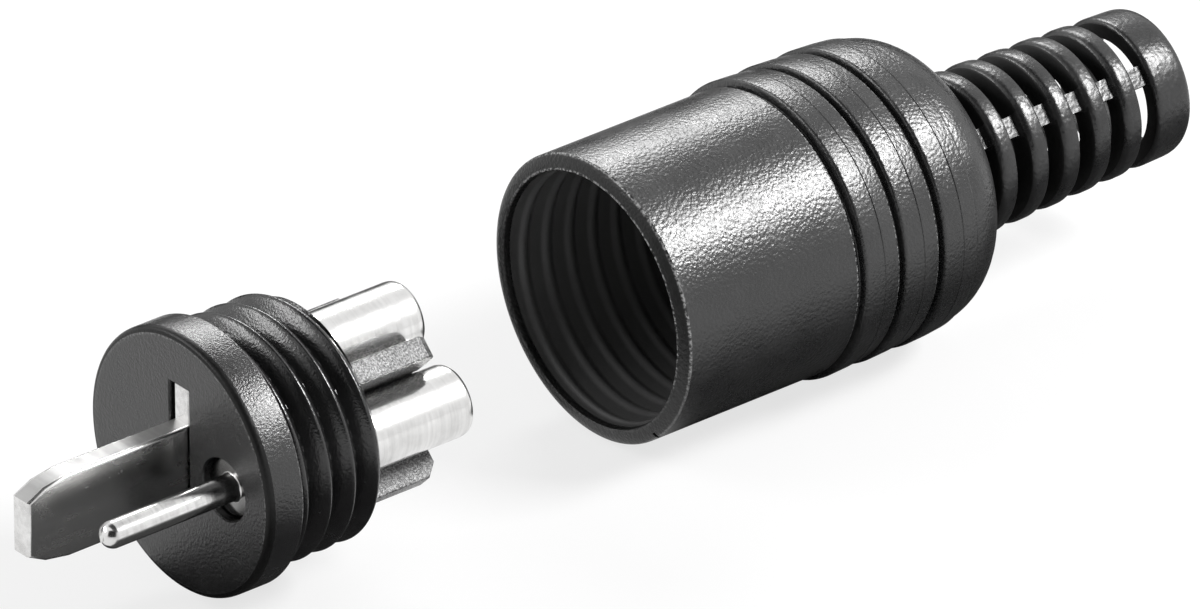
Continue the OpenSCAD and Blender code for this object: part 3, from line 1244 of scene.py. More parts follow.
    def build(self, tree: Tree, finishes: Finishes) -> Obj:
        """Makes the insert and dresses it.

        Args:
            tree: Geometry tree of the thread.
            finishes: Material of each zone.

        Returns:
            The insert.
        """
        body = self._turned_body(tree, finishes[Zone.FLANGE])
        for degrees, reach in ((135, self.near_reach), (225, self.near_reach), (45, self.far_reach),
                               (315, self.far_reach)):
            combine(body, self._arm(degrees, reach), Cut.JOIN)
        self._open(body)
        shade(body)
        dress(body, finishes, (Zone.FLANGE, Zone.THREAD, Zone.PARTITION, Zone.EDGE), self._zone)
        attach(body, "insert")
        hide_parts("insert_body")
        return body


@dataclass
class Blade:
    """Stamped flat contact with its inner shoulder.

    Attributes:
        tip: X of the tip.
        width: Width of the blade.
        thickness: Thickness of the blade.
        tip_width: Width of the flat tip.
        tip_length: Length of the tapered tip.
        tip_bend: Where the taper bends, as shares of its length and of its widening.
        shoulder_start: Front of the inner shoulder.
        shoulder_top: Z of the top of the shoulder.
        end: Rear end inside the terminal.
        edge: Pressed rounding of the edges.
        cut_y: Half width of the finish of the cut edges.
        sharp: Angle in degrees from which an edge stays sharp.
    """

    tip: float = -9.1
    width: float = 4.2
    thickness: float = 1.2
    tip_width: float = 2.8
    tip_length: float = 2.3
    tip_bend: Point = (0.42, 0.68)
    shoulder_start: float = 0.15
    shoulder_top: float = 3.9
    end: float = 5.4
    edge: float = 0.17
    cut_y: float = 0.3
    sharp: float = 40.0

    def _zone(self, middle: Vector) -> Zone:
        """Tells the long cut edges from the flat sides, the tip and the front of the shoulder.

        Args:
            middle: Middle of a face.

        Returns:
            Its zone.
        """
        front = abs(middle.x - self.shoulder_start) < 10 * HAIR and middle.z > self.width / 2 + 5 * HAIR
        long_edge = abs(middle.y) < self.cut_y and middle.x > self.tip + 10 * HAIR
        return Zone.CUT_EDGE if long_edge and not front else Zone.BLADE

    def build(self, finishes: Finishes) -> Obj:
        """Makes the blade and dresses it.

        Args:
            finishes: Material of each zone.

        Returns:
            The blade.
        """
        half, tip = self.width / 2, self.tip_width / 2
        along, across = self.tip_bend
        nose = [(self.tip, tip), (self.tip + self.tip_length * along, tip + (half - tip) * across),
                (self.tip + self.tip_length, half)]
        rear = [(self.end, -half), (self.end, self.shoulder_top), (self.shoulder_start, self.shoulder_top),
                (self.shoulder_start, half)]
        outline = [(x, -z) for x, z in nose] + rear + nose[::-1]
        blade = soft_plate("blade_looks", outline, self.thickness, self.edge, 3)
        shade(blade, self.sharp)
        dress(blade, finishes, (Zone.BLADE, Zone.CUT_EDGE), self._zone)
        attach(blade, "insert")
        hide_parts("blade")
        return blade


@dataclass
class PinContact:
    """Turned pin in one with its collar and wire barrel.

    Attributes:
        terminals: Sizes of its barrel.
        tip: X of the tip.
        pin_r: Radius of the pin.
        collar_r: Radius of the collar.
        collar_start: Front face of the collar.
        nose_angles: First angle, limit and step of the points on the round nose, in degrees.
        dimple: Depth of the dimple in the nose at its middle and at its ring of points.
        dimple_ring: Radius of that ring, as a share of the dimple's radius.
        collar_band: Depth of the darker finish, a painted shade, on the collar's front down in the pin's
            hole.
    """

    terminals: Terminals
    tip: float = -7.0
    pin_r: float = 0.65
    collar_r: float = 1.45
    collar_start: float = 0.45
    nose_angles: tuple[int, int, int] = (14, 91, 7)
    dimple: Point = (0.03, 0.02)
    dimple_ring: float = 0.6
    collar_band: float = 0.12

    def _zone(self, middle: Vector) -> Zone:
        """Tells the front of the collar from the rest.

        Args:
            middle: Middle of a face.

        Returns:
            Its zone.
        """
        across = math.hypot(middle.y + self.terminals.offset, middle.z)
        near = abs(middle.x - self.collar_start) < self.collar_band
        return Zone.COLLAR if near and across > self.pin_r + 10 * HAIR else Zone.CONTACT

    def build(self, finishes: Finishes) -> Obj:
        """Makes the pin contact and dresses it.

        Args:
            finishes: Material of each zone.

        Returns:
            The contact.
        """
        size = self.terminals
        middle = self.tip + self.pin_r
        nose = [(middle - self.pin_r * math.cos(math.radians(a)), self.pin_r * math.sin(math.radians(a)))
                for a in range(*self.nose_angles)]
        (x, r), (deep, shallow) = nose[0], self.dimple
        dimple = [(x + deep, 0.0), (x + shallow, r * self.dimple_ring)]
        rear = size.rear_corners(size.end + size.pin_extra)
        shaft = soft_outline([
            Corner(*nose[-1]), Corner(self.collar_start, self.pin_r, size.soft),
            Corner(self.collar_start, self.collar_r, size.soft), Corner(size.start, self.collar_r),
            Corner(size.start, size.barrel_r, size.soft), *rear], size.steps)
        pin = turned("pin_contact_looks", dimple + nose + shaft[1:], size.segments, (-size.offset, 0))
        shade(pin)
        dress(pin, finishes, (Zone.CONTACT, Zone.COLLAR), self._zone)
        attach(pin, "insert")
        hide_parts("pin_contact")
        return pin


@dataclass
class BladeTerminal:
    """Wire barrel of the blade, slotted at the front for the blade's shoulder.

    Attributes:
        terminals: Sizes of its barrel.
        slot_start: X where the slot's cutter starts.
        slot_end: Rear end of the slot.
        slot_y: Half width of the slot.
        slot_z: Lowest Z of the slot's cutter and top of the slot.
    """

    terminals: Terminals
    slot_start: float = 1.5
    slot_end: float = 5.42
    slot_y: float = 0.62
    slot_z: Point = (-1.0, 3.92)

    def build(self, finishes: Finishes) -> Obj:
        """Makes the terminal and dresses it.

        Args:
            finishes: Material of each zone.

        Returns:
            The terminal.
        """
        size = self.terminals
        outline = soft_outline([Corner(size.start, 0), Corner(size.start, size.barrel_r, size.soft),
                                *size.rear_corners(size.end)], size.steps)
        barrel = turned("blade_terminal_looks", outline, size.segments, (0, size.height))
        slot = [(x, -self.slot_y, self.slot_y, *self.slot_z) for x in (self.slot_start, self.slot_end)]
        combine(barrel, lofted_box("shoulder_room", slot), Cut.REMOVE)
        shade(barrel)
        dress(barrel, finishes, (Zone.CONTACT,), lambda middle: Zone.CONTACT)
        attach(barrel, "insert")
        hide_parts("blade_terminal")
        return barrel


@dataclass
class Cover:
    """Screw-on cover with raised bands, dome and slotted bend relief.

    Attributes:
        thread: The thread that it screws on.
        mouth: X of the mouth.
        home: How far the cover travels to be screwed home.
        outer_r: Radius of the plain part.
        bore_r: Radius of the bore at the root of its thread.
        rim_start: How far outside the bore the mouth's rim starts.
        rim_slope: How far the rim slopes back at the outside.
        rim_middle: Place of the rim's bend, behind the mouth and outside the bore.
        lead: Length of the bore's slope at the mouth.
        lead_r: How much wider the bore is at the mouth.
        plain_length: Length of the plain part.
        bands: Number of raised bands.
        band_pitch: Distance from band to band.
        band_r: Radius at the front of a band.
        band_end_r: Radius at the rear of a band.
        groove_r: Radius of the grooves.
        groove_width: Width of the grooves.
        step_soft: Rounding of the step down to a groove.
        line_place: Place of a band's moulding line, as shares of its length and of its fall.
        line_width: Half width of the moulding line.
        line_depth: Depth of the moulding line.
        dome_r: Radius at the start of the dome.
        dome_length: Length of the dome.
        dome_wall: Wall of the dome.
        dome_lead: How far ahead of the dome its inside starts, as a share of the wall.
        dome_gap: How far ahead of that the even rows of the bore end.
        cable_r: Radius of the cable bore.
        relief_root_r: Radius of the bend relief at the dome.
        relief_end_r: Radius at the end of the bend relief.
        gap_count: Number of gaps.
        gap_width: Width of the gaps.
        ring_width: Width of the rings.
        gap_start: Distance from the dome to the first gap.
        end_length: Length of the plain end.
        web_width: Width of the webs between the rings.
        web_depth: How far the webs lie below the rings.
        web_angle: Direction of the webs about the axis, in degrees from +Y towards +Z.
        web_bite: How far the webs reach into the rings.
        ring_draft: How much wider the rings get on each side towards the bore.
        ring_soft: Rounding of the rings at the front, at the rear and at the bore.
        ring_side: Depth from which a ring's side has the darker finish of the cable bore, a painted shade.
        end_rim: Length of the rear end whose sides do not have that finish.
        ridge_span: Start and end of the inner thread, behind the mouth.
        ridge_height: Height of the inner thread.
        ridge_share: Share of the pitch that its ridges take.
        ridge_round: Rounding of its crests, as a share of the flank.
        ridge_softness: How far its flanks are wavy, from 0 to 1.
        ridge_runs: Lengths in which it starts and ends.
        row_step: Distance between the rows of points along the bore.
        bore_slack: How far from the bore the thread's points may lie.
        nick_angle: Direction of the nick at the mouth, in degrees from +Y towards +Z.
        lip_depth: How far back the darker finish of the mouth's rim, a painted shade, reaches.
        bore_start: Where the paler finish of the bore, painted light inside the cover, starts behind the
            mouth.
        segments: Flat pieces in a full turn.
        end_segments: Flat pieces in a turn of the plain end.
        ring_segments: Flat pieces in a turn of the rings.
        ring_steps: Straight pieces in a rounding of the rings.
    """

    thread: ScrewThread
    mouth: float = 23.95
    home: float = 21.9
    outer_r: float = 7.04
    bore_r: float = 6.2
    rim_start: float = 0.1
    rim_slope: float = 0.24
    rim_middle: Point = (0.1, 0.6)
    lead: float = 0.3
    lead_r: float = 0.06
    plain_length: float = 10.25
    bands: int = 3
    band_pitch: float = 2.36
    band_r: float = 7.31
    band_end_r: float = 7.17
    groove_r: float = 6.84
    groove_width: float = 0.22
    step_soft: float = 0.13
    line_place: Point = (0.6, 0.4)
    line_width: float = 0.035
    line_depth: float = 0.03
    dome_r: float = 7.05
    dome_length: float = 2.8
    dome_wall: float = 1.2
    dome_lead: float = 0.4
    dome_gap: float = 0.3
    cable_r: float = 2.8
    relief_root_r: float = 4.03
    relief_end_r: float = 3.63
    gap_count: int = 6
    gap_width: float = 1.07
    ring_width: float = 0.875
    gap_start: float = 0.42
    end_length: float = 2.13
    web_width: float = 1.0
    web_depth: float = 0.62
    web_angle: float = 140.5
    web_bite: float = 0.12
    ring_draft: float = 0.28
    ring_soft: Place = (0.3, 0.1, 0.06)
    ring_side: float = 0.2
    end_rim: float = 0.5
    ridge_span: Point = (0.5, 9.4)
    ridge_height: float = 0.13
    ridge_share: float = 0.55
    ridge_round: float = 0.3
    ridge_softness: float = 0.7
    ridge_runs: Point = (0.35, 1.4)
    row_step: float = 0.065
    bore_slack: float = 0.03
    nick_angle: float = 228.6
    lip_depth: float = 0.2
    bore_start: float = 0.35
    segments: int = 160
    end_segments: int = 96
    ring_segments: int = 112
    ring_steps: int = 4

    @property
    def band_starts(self) -> list[float]:
        """X of the front of each band's groove."""
        return [self.mouth + self.plain_length + k * self.band_pitch for k in range(self.bands)]

    @property
    def dome_start(self) -> float:
        """X of the start of the dome."""
        return self.mouth + self.plain_length + self.bands * self.band_pitch

    @property
    def dome_end(self) -> float:
        """X of the end of the dome."""
        return self.dome_start + self.dome_length

    @property
    def end(self) -> float:
        """X of the rear end of the bend relief."""
        gaps = self.gap_count * (self.gap_width + self.ring_width) - self.ring_width
        return self.dome_end + self.gap_start + gaps + self.end_length

    @property
    def taper(self) -> float:
        """Radius that the bend relief loses per millimetre."""
        return (self.relief_root_r - self.relief_end_r) / (self.end - self.dome_end)

    def rims(self) -> tuple[Rim, ...]:
        """Gives the polished edges with their painted highlights: the two of the mouth, then the rear one of
        each step.

        Returns:
            The edges.
        """
        below, ahead = 0.02, 0.03
        steps = [self.outer_r] + [self.band_end_r] * (self.bands - 1)
        return (Rim(self.mouth + HAIR, self.bore_r + self.rim_start, FRONT_RIM_REACH),
                Rim(self.mouth + self.rim_slope - below, self.outer_r - below, FRONT_RIM_REACH),
                *(Rim(x - ahead, r - below, REAR_RIM_REACH) for x, r in zip(self.band_starts, steps)))

    def _relief_r(self, x: float) -> float:
        """Gives the radius of the bend relief at a place along the axis."""
        return self.relief_root_r - self.taper * (x - self.dome_end)

    def _band_corners(self, start: float) -> list[Corner]:
        """Gives the corners of one groove and the raised band behind it.

        Args:
            start: X of the front of the groove.

        Returns:
            The corners from the groove to the rear of the band.
        """
        groove_soft, face_slope, face_soft, lift = 0.04, 0.06, 0.16, 0.004
        face = start + self.groove_width
        along, down = self.line_place
        line = start + self.band_pitch * along
        line_r = self.band_r - (self.band_r - self.band_end_r) * down
        rear = start + self.band_pitch - HAIR
        return [Corner(start, self.groove_r, groove_soft), Corner(face, self.groove_r, groove_soft),
                Corner(face + face_slope, self.band_r, face_soft),
                Corner(line - self.line_width, line_r + lift), Corner(line, line_r - self.line_depth),
                Corner(line + self.line_width, line_r), Corner(rear, self.band_end_r, self.step_soft)]

    @staticmethod
    def _arc(start: Point, run: float, rise: float, degrees: Sequence[int]) -> list[Point]:
        """Gives points on a quarter of an ellipse.

        Args:
            start: Its middle, along the axis and from the axis.
            run: Its length along the axis.
            rise: Its height.
            degrees: Where the points lie, from 0 at the top to 90 at the end.

        Returns:
            The points.
        """
        turns = [math.radians(a) for a in degrees]
        return [(start[0] + run * math.sin(t), start[1] + rise * math.cos(t)) for t in turns]

    def _shell_outline(self) -> list[Point]:
        """Gives the closed outline of the cover without its bend relief.

        Returns:
            The outline, from the mouth along the outside and back through the bore.
        """
        rim_soft, slope_soft, tail_soft, outlet_soft, lead_soft = 0.2, 0.08, 0.1, 0.06, 0.05
        back, out = self.rim_middle
        rim = Corner(self.mouth + back, self.bore_r + out, rim_soft)
        outside = [rim, Corner(self.mouth + self.rim_slope, self.outer_r, slope_soft),
                   Corner(self.mouth + self.plain_length, self.outer_r, self.step_soft)]
        for start in self.band_starts:
            outside += self._band_corners(start)
        outline = soft_outline([Corner(self.mouth, self.bore_r + self.rim_start), *outside,
                                Corner(self.dome_start, self.dome_r)])[1:]
        outline += self._arc((self.dome_start, self.relief_root_r), self.dome_length,
                             self.dome_r - self.relief_root_r, range(6, 91, 6))
        tail, inner_end = self.dome_end + self.gap_start, self.dome_end - self.dome_wall
        outline += soft_outline([
            Corner(*outline[-1]), Corner(tail, self._relief_r(tail), tail_soft),
            Corner(tail, self.cable_r, outlet_soft), Corner(inner_end, self.cable_r)])[1:]
        inner_start = self.dome_start - self.dome_lead * self.dome_wall
        outline += self._arc((inner_start, self.cable_r), inner_end - inner_start,
                             self.bore_r - self.cable_r, range(82, -1, -8))
        bore_front, bore_rear = self.mouth + self.lead, inner_start - self.dome_gap
        outline += even_rows(bore_rear, bore_front, self.bore_r, self.row_step)
        outline += soft_outline([Corner(bore_front, self.bore_r),
                                 Corner(self.mouth, self.bore_r + self.lead_r, lead_soft), rim])[1:-1]
        return outline

    def _end_outline(self) -> list[Point]:
        """Gives the closed outline of the bend relief's plain end.

        Returns:
            The outline.
        """
        front_soft, _, bore_soft = self.ring_soft
        end_soft, mouth_r, mouth_depth, mouth_soft = 0.6, 0.14, 0.4, 0.2
        start = self.end - self.end_length
        return soft_outline([
            Corner(start, self.cable_r, bore_soft), Corner(start, self._relief_r(start), front_soft),
            Corner(self.end, self.relief_end_r, end_soft),
            Corner(self.end, self.cable_r + mouth_r, bore_soft),
            Corner(self.end - mouth_depth, self.cable_r, mouth_soft)], steps=6, closed=True)

    def _parting_nick(self) -> Obj:
        """Makes the cutter for the small nick that the mould's parting leaves on the mouth.

        Returns:
            The cutter.
        """
        clear = 0.5
        ends = ((-clear, 0.45, 0.13), (0.4, 0.2, 0.08))  # place from the mouth, depth and half width
        outside = self.outer_r + clear
        nick = lofted_box("nick", [(self.mouth + x, self.outer_r - deep, outside, -half, half)
                                   for x, deep, half in ends])
        nick.data.transform(Matrix.Rotation(math.radians(self.nick_angle), 4, "X"))
        return nick

    def _zone(self, middle: Vector) -> Zone:
        """Tells the bore, the outlet with the rings' sides, the relief and the rim from the outside.

        Args:
            middle: Middle of a face.

        Returns:
            Its zone.
        """
        across = math.hypot(middle.y, middle.z)
        if middle.x > self.dome_end - self.dome_wall:
            off = math.atan2(middle.z, middle.y) - math.radians(self.web_angle)
            web = abs(math.sin(off)) * across < self.web_width / 2 + 3 * HAIR
            first, last = self.dome_end + self.gap_start - 5 * HAIR, self.end - self.end_rim
            ring = first < middle.x < last and not web
            deep = self._relief_r(middle.x) - self.ring_side if ring else self.cable_r + 10 * HAIR
            if across < deep:
                return Zone.OUTLET
            return Zone.RELIEF if middle.x > self.dome_end + 10 * HAIR else Zone.COVER
        if middle.x < self.mouth + self.lip_depth:
            return Zone.LIP
        inside = middle.x > self.mouth + self.bore_start and across < self.bore_r + 2 * HAIR
        return Zone.BORE if inside else Zone.COVER

    def build(self, screw: Tree, relief: Tree, finishes: Finishes) -> Obj:
        """Makes the cover and dresses it.

        Args:
            screw: Geometry tree of the thread.
            relief: Geometry tree of the bend relief.
            finishes: Material of each zone.

        Returns:
            The cover.
        """
        outside = finishes[Zone.COVER]
        cover = turned("cover_looks", self._shell_outline(), self.segments, ring=True)
        start, end = self.ridge_span
        run_in, run_out = self.ridge_runs
        grow(cover, screw, {
            "Start": self.mouth + start, "End": self.mouth + end, "Pitch": self.thread.pitch,
            "First Crest": self.thread.first_crest + self.home, "Height": -self.ridge_height,
            "Ridge Share": self.ridge_share, "Crest Round": self.ridge_round, "Softness": self.ridge_softness,
            "Run In": run_in, "Run Out": run_out, "Lowest Radius": self.bore_r - self.bore_slack,
            "Highest Radius": self.bore_r + self.bore_slack, "Cone Start": BEYOND, "Cone Radius": BEYOND,
            "Cone Slope": 0.0, "Material": outside})
        plain_end = turned("relief_end", self._end_outline(), self.end_segments, ring=True)
        combine(cover, plain_end, Cut.JOIN)
        front_soft, rear_soft, bore_soft = self.ring_soft
        grow(cover, relief, {
            "First Gap": self.dome_end + self.gap_start, "Gap Count": self.gap_count,
            "Gap Width": self.gap_width, "Ring Width": self.ring_width, "Bore Radius": self.cable_r,
            "Root Radius": self.relief_root_r, "Taper Start": self.dome_end, "Taper": self.taper,
            "Web Width": self.web_width, "Web Depth": self.web_depth,
            "Web Angle": math.radians(self.web_angle), "Front Round": front_soft, "Rear Round": rear_soft,
            "Inner Round": bore_soft, "Bite": self.web_bite, "Draft": self.ring_draft,
            "Round Steps": self.ring_steps, "Segments": self.ring_segments, "Material": outside})
        combine(cover, self._parting_nick(), Cut.REMOVE)
        shade(cover)
        dress(cover, finishes, (Zone.COVER, Zone.BORE, Zone.OUTLET, Zone.RELIEF, Zone.LIP), self._zone)
        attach(cover, "cover")
        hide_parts("cover")
        return cover


def plug_finishes(insert: Insert, cover: Cover) -> dict[Zone, Union[MouldedPlastic, PlatedMetal]]:
    """Gives the finish of each zone.

    Args:
        insert: The insert, for its polished edges.
        cover: The cover, for its polished edges.

    Returns:
        The finishes.
    """
    rims = cover.rims()
    return {
        # Painted highlights: pale lines on the flange's polished front and rear edges.
        Zone.FLANGE: MouldedPlastic(
            "flange_plastic", glint_colour=grey(0.13), roughness=(0.22, 0.29), cell=0.12, fine=0.05, fine_share=0.5,
            depth=0.036, rims=insert.rims()),
        Zone.THREAD: MouldedPlastic(
            "thread_plastic", cell=0.12, fine=0.05, depth=0.03, strength=0.55, gloss=0.62,
            roughness=(0.2, 0.28)),
        # Painted shade: a darker, duller front edge of the flange stands in for the dark band its rounding
        # shows.
        Zone.EDGE: MouldedPlastic(
            "edge_plastic", colour=grey(0.005), bloom=grey(0.01), cell=0.12, fine=0.05, depth=0.03,
            strength=0.5, gloss=0.22, roughness=(0.34, 0.42)),
        # Painted glints: pale specks over the partition's grain.
        Zone.PARTITION: MouldedPlastic(
            "partition_plastic", glint_colour=grey(0.22), specks=1.0, cell=0.13, fine=0.09, fine_share=0.6,
            depth=0.05, strength=0.9, roughness=(0.36, 0.46)),
        # Painted highlights: pale lines on the mouth's edges and on the steps of the bands.
        Zone.COVER: MouldedPlastic(
            "cover_plastic", glint_colour=grey(0.36), fine_share=0.35, strength=0.64, roughness=(0.29, 0.36),
            rims=rims),
        # Painted shade: a darker, duller rim at the mouth, with painted highlights on its two edges.
        Zone.LIP: MouldedPlastic(
            "lip_plastic", colour=grey(0.006), bloom=grey(0.012), glint_colour=grey(0.36), strength=0.64, gloss=0.34,
            roughness=(0.34, 0.42), rims=rims[:2]),
        # Painted light: the inside of the cover is paler than the plastic, standing in for light in the
        # hollow.
        Zone.BORE: MouldedPlastic(
            "bore_plastic", colour=grey(0.07), bloom=grey(0.08), cell=0.2, depth=0.012, strength=0.3,
            gloss=0.4, roughness=(0.42, 0.54)),
        # Painted shade: the cable bore and the sides of the rings are darker than the plastic.
        Zone.OUTLET: MouldedPlastic(
            "outlet_plastic", colour=grey(0.004), bloom=grey(0.008), cell=0.2, depth=0.012, strength=0.3,
            gloss=0.25, roughness=(0.46, 0.58)),
        Zone.RELIEF: MouldedPlastic(
            "relief_plastic", cell=0.24, fine=0.11, fine_share=0.3, depth=0.045, strength=0.55, gloss=0.55,
            roughness=(0.3, 0.38)),
        Zone.BLADE: PlatedMetal(
            "stamped_nickel", lay=Lay.DRAWN, depth=0.003, strength=0.05, roughness=(0.2, 0.3)),
        Zone.CUT_EDGE: PlatedMetal(
            "sheared_nickel", colour=(0.44, 0.438, 0.435), tarnish=(0.34, 0.338, 0.335), line=0.07,
            strength=0.4, roughness=(0.5, 0.58)),
        Zone.CONTACT: PlatedMetal("turned_nickel"),
        # Painted shade: the collar's front, down in the pin's hole, is darker nickel.
        Zone.COLLAR: PlatedMetal(
            "shaded_nickel", colour=(0.26, 0.258, 0.255), tarnish=(0.2, 0.198, 0.195)),
    }


# The studio


def empty_tree(owner: Union[Material, bpy.types.World]) -> TreeMaker:
    """Clears the nodes of a material or a world.

    Args:
        owner: The material or the world.

    Returns:
        A maker for its tree.
    """
    owner.use_nodes = True
    owner.node_tree.nodes.clear()
    return TreeMaker(owner.node_tree)


def level_card(x: Point, y: Point, z: float) -> list[Place]:
    """Gives the corners of a level rectangle."""
    return [(x[0], y[0], z), (x[1], y[0], z), (x[1], y[1], z), (x[0], y[1], z)]


def two_part_material(name: str, obj: Obj) -> tuple[Node, TreeMaker]:
    """Gives an object a material that mixes two shaders.

    Args:
        name: Name of the material.
        obj: The object.

    Returns:
        The node that mixes the shaders, and a maker for its tree.
    """
    material = bpy.data.materials.new(name)
    make = empty_tree(material)
    mixer = make.node("ShaderNodeMixShader")
    make.node("ShaderNodeOutputMaterial", {"Surface": Value(make, mixer.outputs[0])})
    obj.data.materials.append(material)
    return mixer, make


@dataclass
class Lamp:
    """A soft lamp that points at the plug.

    Attributes:
        name: Name of the lamp.
        aim_x: Place along the plug's axis that the lamp points at, in millimetres.
        way: Direction from that place to the lamp.
        distance: Distance from that place, in metres.
        size: Length and width of the lamp, in metres.
        power: Power in watts.
    """

    name: str
    aim_x: float
    way: Place
    distance: float
    size: Point
    power: float

    def build(self) -> None:
        """Makes the lamp, with its length across the line of sight and level with the floor."""
        data = bpy.data.lights.new(self.name, "AREA")
        data.shape, data.size, data.size_y = "RECTANGLE", *self.size
        data.energy = self.power
        lamp = link(self.name, data)
        way = Vector(self.way).normalized()
        lamp.location = Vector((self.aim_x * MM, 0.0, 0.0)) + way * self.distance
        lamp.rotation_mode = "QUATERNION"
        lamp.rotation_quaternion = way.to_track_quat("Z", "Y")
        lamp.visible_camera = False


@dataclass
class DarkReflectionCard:
    """A dark card seen only in reflections: a painted dark reflection, and where it lies on the floor beside
    the plug, painted shadow.

    Attributes:
        name: Name of the card.
        corners: Its corners, in millimetres.
        shade: How pale the card is, from 0 to 1.
        fades_x: For each soft edge across X, where the card is clear and where it is whole, in millimetres.
        fades_y: For each soft edge across Y, the same.
    """

    name: str
    corners: list[Place]
    shade: float = 0.06
    fades_x: tuple[Point, ...] = ()
    fades_y: tuple[Point, ...] = ()

    def build(self) -> None:
        """Makes the card and hides it from all rays but glossy ones."""
        card = mesh_object(self.name, self.corners, [list(range(len(self.corners)))])
        mixer, make = two_part_material(self.name, card)
        x, y, _ = make.parts(make.value("ShaderNodeTexCoord", output="Object"))
        whole: Feed = 1.0
        for along, fades in ((x, self.fades_x), (y, self.fades_y)):
            for clear, full in fades:
                whole = make.math("MULTIPLY", whole, make.ramp(along, clear * MM, full * MM))
        cloth = make.value("ShaderNodeBsdfDiffuse", {"Color": (*grey(self.shade), 1.0)})
        for socket, value in zip(mixer.inputs, (whole, make.value("ShaderNodeBsdfTransparent"), cloth)):
            make.feed(socket, value)
        card.visible_camera = card.visible_diffuse = card.visible_shadow = False
        card.visible_transmission = card.visible_volume_scatter = False


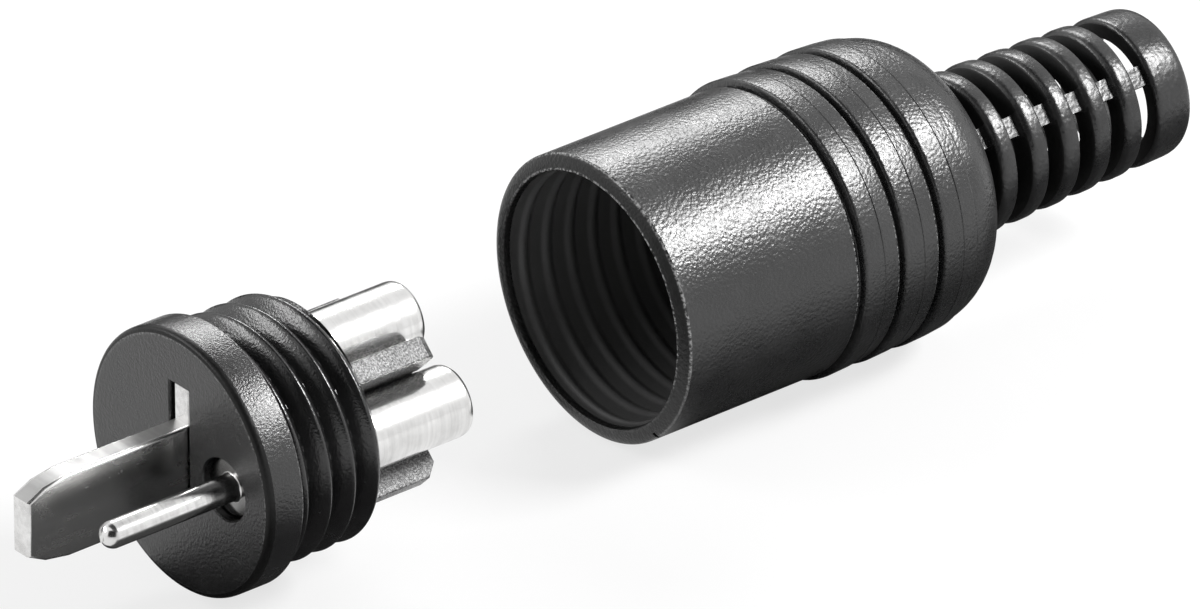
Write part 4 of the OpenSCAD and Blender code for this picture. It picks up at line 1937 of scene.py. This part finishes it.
@dataclass
class Studio:
    """Floor, light and camera.

    Attributes:
        target: Point that the camera was fitted about, in metres.
        azimuth: Camera's direction about Z, in degrees.
        elevation: Camera's height above the horizon, in degrees.
        distance: Camera's distance from the target, in metres.
        lens: Focal length, in millimetres.
        clip: Nearest and farthest distance that the camera sees, in metres.
        aim_px: Where the target lies from the middle of the picture, in photo pixels to the right and up.
        roll: Turn of the camera about its own axis, in degrees.
        floor_z: Height of the floor, in millimetres.
        floor_half: Half of the floor's side, in millimetres.
        floor_colour: Colour of the floor.
        floor_glow: How far the floor is white of its own where it is seen.
        world_light: Strength of the surroundings as a light.
        lamps: The lamps.
        reflection_cards: Dark cards seen only in reflections: painted dark reflections, and on the floor
            painted shadow.
    """

    target: Place = (0.025, 0.0, 0.0)
    azimuth: float = -39.4
    elevation: float = 28.7
    distance: float = 0.9
    lens: float = 589.0
    clip: Point = (0.01, 20.0)
    aim_px: Point = (7.0, 11.0)
    roll: float = -0.17
    floor_z: float = -7.35
    floor_half: float = 3000.0
    floor_colour: Colour = grey(0.8)
    floor_glow: float = 0.74
    world_light: float = 0.3
    lamps: list[Lamp] = field(default_factory=lambda: [
        Lamp("top_back_softbox", 6.0, (0.557, 0.63, 0.54), 0.16, (0.064, 0.031), 0.108),
        Lamp("right_front_softbox", 30.0, (0.557, -0.485, 0.674), 0.22, (0.095, 0.057), 0.65),
        Lamp("left_strip", 2.0, (-0.6, 0.58, 0.545), 0.28, (0.2, 0.05), 0.32),
    ])
    reflection_cards: list[DarkReflectionCard] = field(default_factory=lambda: [
        # Painted shadow: cards on the floor beside the plug, seen only in reflections.
        DarkReflectionCard("cover_painted_shadow", level_card((23, 78), (-26, 4), -7.34),
             fades_x=((23.5, 28), (77, 67)), fades_y=((-25, -8),)),
        DarkReflectionCard("insert_painted_shadow", level_card((-9, 14), (-32, 4), -7.33),
             fades_x=((13.5, 9),), fades_y=((-31, -14),)),
        DarkReflectionCard("mouth_painted_shadow", level_card((4, 25), (1, 31), -7.32),
             fades_x=((4, 9), (24.8, 22.5)), fades_y=((1, 4), (30, 22))),
        # Painted dark reflections: cards over, behind and beside the plug.
        DarkReflectionCard("overhead_dark_reflection", level_card((-200, 220), (-700, 350), 500),
             fades_x=((-200, -130), (220, 150)), fades_y=((350, 220),)),
        DarkReflectionCard("rear_floor_dark_reflection", [(24, 30, -7.34), (420, 30, -7.34), (420, 420, -7.34), (60, 420, -7.34)],
             fades_y=((30, 45),)),
        DarkReflectionCard("rear_wall_dark_reflection", [(4, 497, -7.3), (496, 163, -7.3), (496, 163, 70), (4, 497, 70)], shade=0.12),
        DarkReflectionCard("camera_side_dark_reflection", [(-130, -540, 30), (-560, -120, 30), (-420, -20, 480), (30, -460, 480)]),
    ])

    def build_camera(self) -> None:
        """Makes the camera at the photo's viewing angle."""
        data = bpy.data.cameras.new("camera")
        data.sensor_fit, data.sensor_width, data.lens = "HORIZONTAL", SENSOR_WIDTH, self.lens
        data.clip_start, data.clip_end = self.clip
        camera = link("camera", data)
        a, e = math.radians(self.azimuth), math.radians(self.elevation)
        back = Vector((math.sin(a) * math.cos(e), -math.cos(a) * math.cos(e), math.sin(e)))
        right = Vector((math.cos(a), math.sin(a), 0.0))
        up = back.cross(right)
        pixel = self.distance * data.sensor_width / data.lens / PHOTO_WIDTH
        aim = Vector(self.target) - right * (self.aim_px[0] * pixel) - up * (self.aim_px[1] * pixel)
        look = Matrix((right, up, back)).transposed().to_quaternion()
        camera.rotation_mode = "QUATERNION"
        camera.rotation_quaternion = look @ Matrix.Rotation(math.radians(self.roll), 3, "Z").to_quaternion()
        camera.location = aim + back * self.distance
        bpy.context.scene.camera = camera

    def _seen(self, make: TreeMaker) -> Value:
        """Adds a mask of the rays that show the background itself.

        Args:
            make: Maker of the floor's or the world's tree.

        Returns:
            The mask.
        """
        path = {socket.name: Value(make, socket) for socket in make.node("ShaderNodeLightPath").outputs}
        mirrored = make.math("MAXIMUM", path["Is Glossy Ray"], path["Is Transmission Ray"])
        return make.math("MAXIMUM", path["Is Camera Ray"], mirrored)

    def build_floor(self) -> None:
        """Makes the pale floor, which stays nearly white and keeps the plug's shadow."""
        span = (-self.floor_half, self.floor_half)
        floor = mesh_object("floor", level_card(span, span, self.floor_z), [[0, 1, 2, 3]])
        mixer, make = two_part_material("pale_floor", floor)
        matte = make.value("ShaderNodeBsdfDiffuse", {"Color": (*self.floor_colour, 1.0)})
        white = make.value("ShaderNodeEmission", {"Color": WHITE, "Strength": 1.0})
        for socket, value in zip(mixer.inputs, (self._seen(make) * self.floor_glow, matte, white)):
            make.feed(socket, value)

    def build_light(self) -> None:
        """Makes the pale surroundings and the soft lamps."""
        world = bpy.data.worlds.new("studio")
        bpy.context.scene.world = world
        make = empty_tree(world)
        strength = make.ramp(self._seen(make), 0.0, 1.0, self.world_light, 1.0, smooth=False)
        air = make.value("ShaderNodeBackground", {"Color": WHITE, "Strength": strength})
        make.node("ShaderNodeOutputWorld", {"Surface": air})
        for lamp in self.lamps:
            lamp.build()

    def build(self) -> None:
        """Makes the whole studio."""
        self.build_camera()
        self.build_floor()
        self.build_light()
        for dark_card in self.reflection_cards:
            dark_card.build()
        bpy.context.scene.view_settings.view_transform = "Standard"


def main() -> None:
    """Builds the plug's pieces in order, then the studio."""
    logging.basicConfig(level=logging.INFO, format="%(name)s: %(message)s")
    terminals, thread = Terminals(), ScrewThread()
    insert, cover = Insert(terminals, thread), Cover(thread)
    effects = Effects()
    finishes = {zone: finish.build(effects) for zone, finish in plug_finishes(insert, cover).items()}
    screw, relief = thread_tree(), relief_tree()
    pieces = [
        insert.build(screw, finishes),
        Blade().build(finishes),
        PinContact(terminals).build(finishes),
        BladeTerminal(terminals).build(finishes),
        cover.build(screw, relief, finishes),
    ]
    for piece in pieces:
        faces = piece.data.polygons
        triangles = sum(len(face.vertices) - 2 for face in faces)
        LOG.info("%s: %d faces, %d triangles", piece.name, len(faces), triangles)
    Studio().build()


if __name__ == "__main__":
    main()
